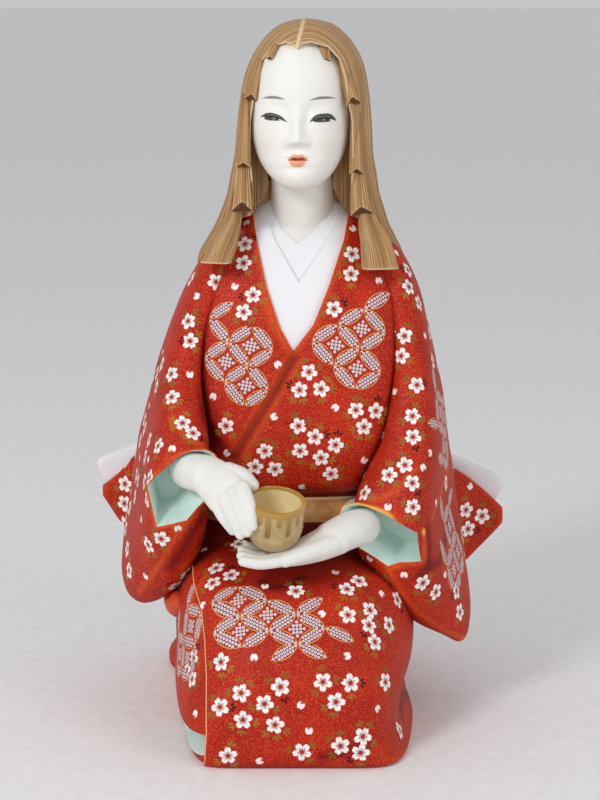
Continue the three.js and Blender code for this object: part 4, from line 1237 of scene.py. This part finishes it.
def face_finish(name):
    """Matt white over clay with a painted face. An eye lies between the curves z = a + b t + c |t|^n above
    and z = a + c t^2 + d t^3 below, with t from corner to corner; a black lid line a + b t + c t^2 parts its
    lashes from the iris. A brow is a parabola that thins to its ends. The upper lip lies above an arch with
    two peaks."""
    paint = Paint(name, Roughness=0.55, Specular_IOR_Level=0.35)
    place = paint.places()
    x, y, z = paint.parts(place)
    front = (y + 14.0).within(2.0)
    paint.colour = paint.mix(paint.noise(place, 0.1), (243, 241, 236), (238, 235, 229))
    blush = (1.0 - oval(abs(x - FACE_MIDDLE), z, 12.0, 262.0, 7.0, 8.0)).clamped()
    paint.cover(blush * front * 0.1, (240, 190, 180))
    # Painted shade under the nose.
    under_nose_shade = (1.0 - oval(x, z, FACE_MIDDLE, 259.9, 4.2, 0.9)).clamped()
    paint.cover(under_nose_shade * front * 0.22, (206, 192, 186))
    strokes = ((paint.noise(place, 2.2, 1.0) - 0.4) * 4.0).clamped()
    for middle, (top, slope, bend, power), (lid, tilt, drop), (low, square, cube), iris, painted_glint in EYES:
        t = (x - middle) / EYE_HALF
        inside = (abs(t) - 1.0).within(0.05) * front
        upper = z - (top + t * slope + abs(t) ** power * bend)
        lower = z - (low + t * t * square + t * t * t * cube)
        black = z - (lid + t * tilt + t * t * drop)
        opening = upper.within(0.25) * (-lower).within(0.25) * inside
        paint.cover(opening * (-black).within(0.2), paint.mix(strokes, (44, 44, 43), (112, 112, 107)))
        round_iris = (oval(x, z, iris[0], lid - 0.6, iris[1], 2.6) - 1.0).within(0.3)
        paint.cover(opening * round_iris * black.within(0.2), paint.mix(strokes, (40, 39, 38), (92, 90, 86)))
        # A painted highlight: the glint on each eye.
        paint.cover((oval(x, z, *painted_glint, 0.55, 0.35) - 1.0).within(0.6) * 0.8, (176, 176, 170))
        lash = (abs(black) - (0.8 - t * t * 0.2) * 0.26 - (t - 0.7).clamped() * 0.4).within(0.25) * inside
        paint.cover(lash, (14, 13, 13))
        paint.cover((abs(upper + 0.1) - 0.1).within(0.25) * inside * 0.7, (50, 48, 47))
        under = (abs(lower) - 0.08).within(0.25) * (abs(t) - 0.75).within(0.2) * front
        paint.cover(under * 0.8, (52, 50, 48))
    for middle, half, top, bend, peak in BROWS:
        t = (x - middle) / half
        rise = z - (top - (x - peak) * (x - peak) * bend)
        brow = (abs(rise) - (1.0 - t * t) * 0.62).within(0.5) * (abs(t) - 1.0).within(0.3) * front
        paint.cover(brow * 0.8, (86, 76, 80))
    t = (x + 0.9) / 4.6
    wave = (t * 7.85).math("COSINE")
    across = (abs(t) - 1.0).within(0.08) * front
    arch = z - (MOUTH_HEIGHT + (1.0 - t * t) * (0.85 - wave * 0.35))
    top_edge = z - (257.15 - (t * t) ** 1.2 * 2.6 - wave * 0.25)
    line = z - MOUTH_HEIGHT
    below = z - (251.5 + (((x + 1.1) / 4.0) ** 2.0) ** 1.6 * 3.0)
    paint.cover(top_edge.within(0.3) * (-arch).within(0.25) * across * 0.92, (228, 174, 122))
    paint.cover(line.within(0.25) * (-below).within(0.35) * across * 0.92, (240, 164, 120))
    paint.cover(arch.within(0.2) * (-line).within(0.25) * across, (206, 44, 36))
    parted = (abs(line) - (1.0 - t * t * 0.6) * 0.16).within(0.25)
    parted = parted.math("MAXIMUM", (abs(arch) - 0.12).within(0.25))
    paint.cover(parted * across * 0.8, (140, 24, 22))
    paint.bump(paint.noise(place, 0.6), 0.0001, 0.25)
    return paint.done()


piece("head", closed_mesh(rings), [face_finish("face_paint")])

# The long hair, cast as one cap down to the waist, parted in the middle and cut away round the face and the
# neck. Its strands are carved, and beside the face hang locks cut short in steps, each with a bare brown end.
# HAIR: the columns of SKIRT. LOCKS: the columns of THIGH_FOLD.
HAIR = np.array([
    [128, -36, 36, 22, 53.5, 38, 3, 0], [129, -38, 38, 20, 55, 38, 3, 0], [150, -39.5, 40, 14, 55, 36, 3, 0],
    [175, -42, 43, 6, 55, 32, 3, 0], [192, -45, 46.5, -2, 54.5, 26, 2.8, 0],
    [206, -46.5, 47.4, -8, 53.5, 20, 2.5, 0], [216, -41.6, 43.4, -12, 52, 16, 2.4, 0],
    [222, -38.4, 40.4, -15, 50, 13, 2.3, 0], [230, -35, 37.8, -19, 47, 10, 2.2, 0],
    [237, -32.6, 35.6, -22, 44, 8, 2.2, 0], [245, -31, 34.3, -25, 42, 6, 2.1, 0],
    [255, -29, 32.6, -28, 41, 5, 2.1, 0], [267, -27.9, 31.9, -30, 40, 4, 2.1, 0],
    [279, -26.4, 30.8, -31, 39, 3, 2.1, 0], [289, -24.4, 29.3, -30.5, 37.5, 3, 2.1, 0],
    [297, -21.5, 27.2, -28.6, 35, 3, 2.1, 0], [303, -18, 23.9, -25.6, 32, 3, 2.1, 0],
    [308, -13.6, 19.6, -21.6, 28, 3, 2.1, 0], [311.6, -9, 15, -17, 23.6, 3, 2.1, 0],
    [314, -4, 10, -11.5, 18, 3, 2, 0], [315.6, 0.8, 5.2, -2, 8, 3, 2, 0],
])
FACE_BACK = 0
FACE_OPENING = [
    [-1.4, 301.8], [-3.6, 303.6], [-6.5, 304.3], [-11.5, 302.5], [-16, 297], [-18.5, 289], [-20, 280],
    [-21.6, 270], [-21.6, 255], [-20.5, 240], [-20, 225], [-22, 200], [24, 200], [22, 225], [22.3, 240],
    [22.8, 255], [22.6, 270], [20.6, 280], [19.4, 289], [17, 297], [12, 302.5], [5, 304.5], [1, 303.8],
]
NECK_BACK = 7
NECK_OPENING = [
    [-14.5, 246], [-13.6, 241], [-16.9, 233.6], [-21.5, 229], [-31, 225], [-34, 200], [34, 200], [31, 225],
    [22, 229], [19, 231.5], [14.2, 241], [15, 246],
]
LOCKS = [
    [[-10.8, -20.6, 304, 1.2, 1, 0], [-12.2, -21.4, 300.5, 1.6, 1.2, 0], [-13.2, -22, 297.2, 1.4, 1.1, 0]],
    [[-17.6, -17, 297, 1.6, 2, 0], [-19.6, -18.5, 288, 2.2, 2.4, 0], [-21.6, -19, 279.6, 2.7, 2.4, 0]],
    [[-23.5, -15.6, 278, 2.2, 2.2, 0], [-24.3, -16.4, 262, 2.5, 2.4, 0], [-24.8, -17, 250.4, 3, 2.6, 0]],
    [[-25, -15, 250, 2.8, 2.4, 0], [-25.2, -16, 240, 3.5, 2.8, 0], [-25.4, -17, 231, 4.4, 3.2, 0]],
    [[-27.6, -12, 236, 2, 2, 0], [-28.8, -14, 228, 3, 3, 3],
     [-33, -16.5, 217.5, 5.4, 4, 10], [-37, -18, 208.6, 7.3, 4.6, 12]],
    [[10.2, -20.6, 303.6, 1.6, 1, 0], [10.9, -21.6, 300, 1.9, 1.2, 0], [11.4, -22.4, 296.4, 1.7, 1.1, 0]],
    [[18, -17, 297, 1.6, 2, 0], [20.8, -19.8, 287, 2.4, 2.4, 0], [23.4, -21.4, 277.6, 3.1, 2.8, 0]],
    [[24.2, -15.6, 276, 2.3, 2.2, 0], [24.6, -16.4, 260, 2.6, 2.4, 0], [24.8, -17, 247.4, 3, 2.6, 0]],
    [[25.4, -15, 247, 3, 2.6, 0], [26.2, -16, 238, 3.8, 3, 0], [27.2, -17, 229.6, 4.7, 3.4, 0]],
    [[28.5, -12, 236, 2.6, 2.6, 0], [29.8, -14.5, 227, 4, 3.2, -4],
     [33.4, -16.5, 216, 6.6, 4, -8], [35.4, -18, 206, 8, 4.8, -10]],
]
STRAND_PITCH = 2.3
BROAD_PITCH = 3.7
HAIR_SIDES = 410


def strand_places(points):
    """Which strand a place on the hair belongs to, in millimetres across the strands. In front they hang from
    the parting, so they keep their depth over the brow and their share of the ring's depth below it; behind
    they keep their angle round the ring, and on the crown their depth again."""
    x, y, z = points.T
    left, right, front, back, widest = read_off(HAIR, z, 5)
    share = np.clip((y - widest) / (widest - front), -1.2, 0)
    aside = np.abs(2 * x - left - right) / (right - left)
    round_back = 4 + 38 * np.arctan2(np.maximum((y - widest) / (back - widest), 0), aside + 0.02)
    behind = round_back + (y - round_back) * smooth_step(z, 305, 312)
    return np.where(share < 0, np.where(z > 270, y, 4 + 34 * share), behind)


def grooves(across):
    """Carved strands, fine and broad: two sines of the place across the strands, out of step."""
    turn = 2 * np.pi * across
    return 0.16 * np.sin(turn / STRAND_PITCH) + 0.1 * np.sin(turn / BROAD_PITCH + 1)


def parting(points, wide):
    """1 along the parting, e to the minus (d / w)^2 beside it, and nothing behind it or below the brow."""
    x, y, z = points.T
    return np.exp(-(((x - np.interp(z, [303, 315], [-1.4, 1.9])) / wide) ** 2)) * (y < 3) * (z > 296)


def hair_finish(name):
    """Golden brown paint over carved strands, and dark where a lock is cut off. Along the strands it is paler
    on the crests and raised streaks of the bump and darker between them: the doll's painted strand lines, laid
    as painted highlight and painted shade too. Each point stores its place across the strands, its place along
    them, and 1 on a cut end or -1 on a pale edge."""
    paint = Paint(name, Roughness=0.42, Specular_IOR_Level=0.4)
    across, along, cut = paint.parts(paint.stored("strand"))
    place = paint.node("ShaderNodeCombineXYZ", {}, [across, along * 0.02, 0.0])
    fine = paint.noise(place, 1.2, 2.0)
    broad = paint.noise(place, 0.3, 2.0)
    crest = (across * (2 * math.pi / 1.15) + fine * 5.0).math("SINE") * 0.5 + 0.5
    paint.colour = paint.mix(((broad - 0.3) * 2.2).clamped(), (168, 122, 72), (214, 170, 114))
    # Painted highlight on the raised streaks and crests of the strands, and painted shade between the crests,
    # over the doll's own strand lines.
    paint.cover(((fine - 0.5) * 5.0).clamped() * 0.7, (242, 208, 156))
    paint.cover((1.0 - crest) * 0.6, (122, 76, 38))
    paint.cover(cut.clamped() * 0.9, (112, 66, 32))
    paint.cover((cut * -1.0).clamped() * 0.8, (250, 228, 188))
    paint.bump(crest * 0.6 + fine * 0.6, 0.0005, 0.8)
    return paint.done()


hair_paint = hair_finish("hair_paint")
cap = closed_mesh(body_rings(smooth_rows(HAIR), HAIR_SIDES))
points = array_of(cap.vertices, "co")
top = 0.3 + 0.7 * smooth_step(points[:, 2], 300, 290)
depth = grooves(strand_places(points)) * top - 0.7 * parting(points, 0.9)
points = points + array_of(cap.vertices, "normal") * depth[:, None]
points[:, 2] -= 0.05 * np.maximum(points[:, 2] - 310, 0) ** 2
cap.vertices.foreach_set("co", points.ravel())
for opening, back in ((FACE_OPENING, FACE_BACK), (NECK_OPENING, NECK_BACK)):
    cap = carved(cap, prism(opening, -60, back), "DIFFERENCE")
points = array_of(cap.vertices, "co")
brow = apart_from(points[:, [0, 2]], [*FACE_OPENING, FACE_OPENING[0]])
brow = np.exp(-((brow / 0.7) ** 2)) * (points[:, 1] < -12) * (points[:, 2] > 244)
low = smooth_step(points[:, 2], 130.5, 128.5)
wall = (np.abs(points[:, 1] - FACE_BACK) < 0.01) | (np.abs(points[:, 1] - NECK_BACK) < 0.01)
across = np.where(wall, 1.2 * np.abs(points[:, 0]), strand_places(points))
edges = low - np.maximum(parting(points, 0.8), 0.8 * brow)
store(cap, "strand", np.column_stack([across, points[:, 2], edges]))
piece("hair", cap, [hair_paint])

LOCK_SIDES = 96
# How far each lock's cut end is bevelled up to the front, in millimetres. The last of each side is cut off
# square.
BEVELS = [1.2, 2.6, 2.0, 4.2, 0, 1.2, 3.4, 2.4, 3.4, 0]


def lock_mesh(stations, bevel):
    """A lock of hair: rings along a path, with strands carved into it by sines round the ring. The cut end
    rises to the front as a peak, the bevel times (1 - |u|) times -v: the last stretch of twice that length is
    squeezed up, so that a place d from the end comes to d + rise (1 - d / 2 bevel). Without a bevel the end
    is cut off level."""
    rings = limb_rings(np.array(stations, float), 14, LOCK_SIDES, 4, (False, False))
    steps = np.linalg.norm(np.diff(rings, axis=1, append=rings[:, :1]), axis=2)
    across = np.concatenate([np.zeros((len(rings), 1)), np.cumsum(steps, axis=1)[:, :-1]], axis=1)
    across = across / across.max(axis=1, keepdims=True) * across[-1].max()
    middle = rings.mean(axis=1, keepdims=True)
    out = rings - middle
    out /= np.linalg.norm(out, axis=2, keepdims=True)
    depth = 0.17 * np.sin(2 * np.pi * across / 1.25) + 0.08 * np.sin(2 * np.pi * across / 2.9)
    rings = rings + out * depth[:, :, None]
    path = np.linalg.norm(np.diff(middle[:, 0], axis=0), axis=1)
    left = np.concatenate([np.cumsum(path[::-1])[::-1], [0]])[:, None]
    along = np.gradient(middle[:, 0], axis=0)
    along /= np.linalg.norm(along, axis=1)[:, None]
    u, v = unit_ring(LOCK_SIDES, 4)
    rise = bevel * np.clip(1.15 - np.abs(u), 0, 1) * np.clip(-v * 2, 0, 1)
    rise = rise * np.clip(1 - left / max(2 * bevel, 0.1), 0, 1)
    rings = rings - along[:, None] * rise[:, :, None]
    if bevel == 0:
        rings[..., 2] += (rings[-1, :, 2].mean() - rings[-1, :, 2]) * np.clip(1 - left / 10, 0, 1)
    rim = rings[-1:] * 0.86 + rings[-1:].mean(axis=1, keepdims=True) * 0.14
    rings = np.concatenate([rings, rim])
    across = np.concatenate([across, across[-1:]])
    cut = np.zeros(rings.shape[:2])
    cut[:-1] = -(0.35 if bevel else 0.7) * np.exp(-(((left + 0 * u) / 0.6) ** 2))
    cut[-1] = 1
    made = closed_mesh(rings)
    values = np.stack([across, np.arange(len(rings))[:, None] + 0 * across, cut], axis=-1).reshape(-1, 3)
    store(made, "strand", np.concatenate([values, [[0, 0, 0], [0, 0, 1]]]))
    return made


for number, lock in enumerate(LOCKS):
    x, y, z, width, thickness, turn = lock[0]
    if z < 280:
        # Below the brow each lock starts higher than its row says and further back, under the lock above it.
        lock = [[x, y + 1.6, z + 4, 0.8 * width, 0.8 * thickness, turn], *lock[1:]]
    piece(f"lock_{number + 1}", lock_mesh(lock, BEVELS[number]), [hair_paint], sharp=60)

# The hands and forearms, white like the face and cast with the body. The right one holds the side of the bowl
# and the left one lies open under it; the limbs of each are melted together, so that no joint shows. Each
# limb has rows of place, half width, half thickness and turn.
RIGHT_HAND = [
    [[-50, -8, 118, 8, 8, 0], [-50, -32, 119, 8, 8, 0],
     [-46.6, -46, 120.6, 8.4, 8.2, 0], [-41, -53, 120.8, 8.4, 7.8, 20]],
    [[-46, -47, 120.7, 8.2, 7.8, 20], [-40.5, -53, 120.6, 8.8, 7.2, 35],
     [-34.8, -59.5, 117.8, 9.6, 5.8, 45], [-31, -64.6, 113.4, 9.2, 4.2, 48]],
    [[-24.6, -66, 118, 3.3, 3.2, 0], [-21.8, -71, 111.4, 3, 2.9, 0], [-20.2, -73.5, 103, 2.3, 2.3, 0]],
    [[-28.6, -67, 116, 3.2, 3, 0], [-25.2, -71.8, 108.2, 2.9, 2.7, 0],
     [-22.6, -73.6, 100.2, 2.2, 2.2, 0]],
    [[-32.6, -66.5, 113.6, 3.1, 2.9, 0], [-28.8, -71, 105.8, 2.8, 2.6, 0],
     [-25.4, -72, 98.6, 2.1, 2.1, 0]],
    [[-36.4, -64, 111.6, 2.9, 2.7, 0], [-33, -68.4, 105.8, 2.6, 2.4, 0], [-28.8, -70, 100, 2, 2, 0]],
    [[-31, -56.5, 123, 4.2, 4, 0], [-24.6, -58.5, 121.4, 3.6, 3.4, 0],
     [-20.2, -59.8, 117.6, 2.7, 2.7, 0]],
    [[-36, -57, 121, 5, 4, 0], [-29, -61, 119.6, 4.4, 4, 0], [-24.5, -63.5, 117.4, 3.2, 3, 0]],
]
LEFT_HAND = [
    [[27, -8, 92.5, 8, 8, 0], [27.3, -30, 94, 8, 8, 0], [27, -43, 95.4, 8.3, 8, 0],
     [22, -51.5, 95.6, 8.6, 7.8, 0], [14, -57.5, 93.4, 8.6, 7.2, 0]],
    [[16, -57, 93.6, 8.6, 7, -6], [7, -60.5, 90.4, 9.6, 5.6, -5],
     [-2, -62.5, 87.8, 10.4, 4, -3], [-11, -63.5, 86.4, 10, 3, -2]],
    [[-8, -71, 86.8, 2.7, 2.5, 0], [-17, -72, 86, 2.7, 2.5, 0], [-24.3, -71.4, 87, 2.4, 2.3, 0]],
    [[-8, -66, 86.6, 2.7, 2.4, 0], [-18, -66.5, 86, 2.6, 2.4, 0], [-25.2, -66.2, 88, 2.3, 2.2, 0]],
    [[-8, -61, 86.6, 2.6, 2.3, 0], [-18, -61, 86.4, 2.5, 2.3, 0], [-25, -61, 89, 2.2, 2.1, 0]],
    [[-7, -56.5, 86.8, 2.4, 2.2, 0], [-15, -56.5, 87, 2.3, 2.2, 0], [-22.5, -56.5, 89.8, 2, 2, 0]],
    [[14, -63, 92.4, 4.8, 4.6, 0], [5, -68, 90.4, 4.3, 3.9, 0], [-6.5, -72.4, 87.4, 3.1, 2.9, 0]],
]
for side_name, parts in (("right", RIGHT_HAND), ("left", LEFT_HAND)):
    limbs = [closed_mesh(limb_rings(np.array(part, float), 8, 28, 2.2)) for part in parts]
    piece(f"hand_{side_name}", blended(limbs, 0.45, 4), [skin_paint])

# The tea bowl, thrown in clay with a small foot, which stands loose on the open palm. It has a cream glaze,
# and an amber one that was dipped round the rim and ran down in drips.
BOWL_RADIUS = 12.8
BOWL_HEIGHT = 24
BOWL_WALL = 1.7
BOWL_FLOOR = 2.6
FOOT_RADIUS = 5.6
FOOT_HEIGHT = 1.6
BOWL_SIDES = 160
BOWL_SEAT = [-12.2, -58.5, 89.3]
BOWL_LEAN = 6, 16
# The belly of the bowl from the foot up: shares of its radius and of its height.
BELLY = np.array(
    [[0.5, 0.07], [0.7, 0.15], [0.87, 0.29], [0.965, 0.47], [1, 0.68], [0.995, 0.86], [0.975, 1]]
)
outside = through(BELLY, np.linspace(0, 6, 61)) * [BOWL_RADIUS, BOWL_HEIGHT]
across, rise = through(BELLY, np.linspace(6, 0, 61)).T
rise = (rise - BELLY[0, 1]) / (1 - BELLY[0, 1])
inside = [across * BOWL_RADIUS - BOWL_WALL, BOWL_FLOOR + rise * (BOWL_HEIGHT - BOWL_FLOOR)]
foot = [[0.01, 0], [FOOT_RADIUS, 0], [FOOT_RADIUS, FOOT_HEIGHT]]
profile = np.concatenate([foot, outside, np.transpose(inside), [[0.01, BOWL_FLOOR]]])
angle = 2 * np.pi * np.arange(BOWL_SIDES) / BOWL_SIDES
around = [profile[:, :1] * np.cos(angle), profile[:, :1] * np.sin(angle), profile[:, 1:] + 0 * angle]
rings = np.stack(around, axis=-1)
# The drips of the amber glaze: the angle from the front in degrees, how far below the rim each ends, and its
# half width.
DRIPS = [
    (-78, 5.5, 1.0), (-54, 8.5, 1.1), (-31, 7.2, 1.1), (-12.5, 12.4, 1.25), (8, 6.4, 1.1), (28, 11.2, 1.15),
    (49, 6.8, 1.1), (72, 8.8, 1.1), (98, 6, 1), (124, 10.4, 1.2), (150, 7, 1.1), (178, 9.6, 1.1), (206, 6, 1),
    (232, 8.4, 1.1), (258, 7.4, 1.1),
]


def glaze_finish(name, inner_side):
    """Cream glaze with faint clouds, darker to the left inside as painted shade; outside, amber above a wavy
    line under the rim and inside each drip, where the distance from the drip's middle line, rounded at its
    foot, is less than its half width."""
    paint = Paint(name, Roughness=0.09, Coat_Weight=0.5, Coat_Roughness=0.05)
    place = paint.stored("turned")
    x, y, z = paint.parts(place)
    cloud = paint.noise(place, 0.16, 3.0)
    if inner_side:
        # Inside, painted shade: the glaze darker towards the left.
        shade = ((x * -0.09 + 0.35) + (cloud - 0.5)).clamped()
        paint.colour = paint.mix(shade, (252, 236, 184), (214, 188, 142))
        rim = (BOWL_HEIGHT - 0.9 - z).within(0.5)
    else:
        paint.colour = paint.mix(((cloud - 0.35) * 3.0).clamped(), (176, 148, 94), (196, 170, 116))
        angle = x.math("ARCTAN2", -y) * (180 / math.pi)
        rim = (BOWL_HEIGHT - 2.3 - z - (angle * 0.14).math("SINE") * 0.35).within(0.25)
        for at, long, wide in DRIPS:
            aside = ((angle - at + 180.0) % 360.0 - 180.0) * (math.pi / 180 * BOWL_RADIUS)
            below = (BOWL_HEIGHT - long + wide - z).math("MAXIMUM", 0.0)
            rim = rim.math("MAXIMUM", ((aside * aside + below * below) ** 0.5 - wide).within(0.3))
        paint.cover((z - 2.0).within(0.6) * 0.6, (150, 116, 74))
    amber = paint.mix(((BOWL_HEIGHT - z) * 0.09).clamped(), (182, 142, 56), (128, 92, 26))
    paint.cover(rim * 0.95, amber)
    paint.bump(rim, 0.0002, 0.6)
    return paint.done()


bowl_mesh = closed_mesh(rings)
# The row of rings that each face comes from, then the fans at the two ends.
row = np.repeat([*range(len(rings) - 1), 0, len(rings)], BOWL_SIDES)
bowl_mesh.polygons.foreach_set("material_index", (row > len(foot) + len(outside) - 2).astype(np.int32))
ends = rings[[0, -1]].mean(axis=1)
store(bowl_mesh, "turned", np.concatenate([rings.reshape(-1, 3), ends]))
aside, ahead = [math.radians(angle) for angle in BOWL_LEAN]
lean = Matrix.Rotation(aside, 4, "Y") @ Matrix.Rotation(ahead, 4, "X")
bowl_mesh.transform(Matrix.Translation(BOWL_SEAT) @ lean)
glazes = [glaze_finish("glaze", False), glaze_finish("glaze_inside", True)]
piece("bowl", bowl_mesh, glazes, "tea_bowl")

# A wide, plain pale floor, two soft lights and the camera at the height of the photograph. The stronger light
# stands to the left in front, so that the figure's left side turns away from it.
FLOOR_REACH = 20
SENSOR = 36
PICTURE_HEIGHT = 800
DOLL_MIDDLE = (0, 0, 0.15)
floor_mesh = bpy.data.meshes.new("floor")
corners = np.array([[-1, -1, 0], [1, -1, 0], [1, 1, 0], [-1, 1, 0]]) * FLOOR_REACH
floor_mesh.from_pydata(corners, [], [(0, 1, 2, 3)])
floor_mesh.materials.append(plain("floor_paint", (252, 251, 251), 0.6))
floor = bpy.data.objects.new("floor", floor_mesh)
bpy.context.scene.collection.objects.link(floor)

camera_data = bpy.data.cameras.new("camera")
camera_data.sensor_width = SENSOR
camera_data.lens = FOCUS * SENSOR / PICTURE_HEIGHT
camera = bpy.data.objects.new("camera", camera_data)
camera.location = EYE / 1000
camera.rotation_euler = (math.pi / 2 - PITCH, 0, 0)
bpy.context.scene.collection.objects.link(camera)
bpy.context.scene.camera = camera


def area_light(name, place, size, power):
    """A round lamp that looks at the middle of the doll."""
    data = bpy.data.lights.new(name, "AREA")
    data.shape = "DISK"
    data.size = size
    data.energy = power
    lamp = bpy.data.objects.new(name, data)
    lamp.location = place
    lamp.rotation_euler = (Vector(DOLL_MIDDLE) - Vector(place)).to_track_quat("-Z", "Y").to_euler()
    bpy.context.scene.collection.objects.link(lamp)


area_light("key", (-0.8, -1.15, 0.95), 0.42, 9.6)
area_light("fill", (1.0, -1.0, 0.8), 0.6, 3.4)
world = bpy.data.worlds.new("studio")
world.use_nodes = True
sky = world.node_tree.nodes["Background"].inputs
sky["Color"].default_value = (0.97, 0.98, 1, 1)
sky["Strength"].default_value = 0.57
bpy.context.scene.world = world
bpy.context.scene.view_settings.view_transform = "Standard"
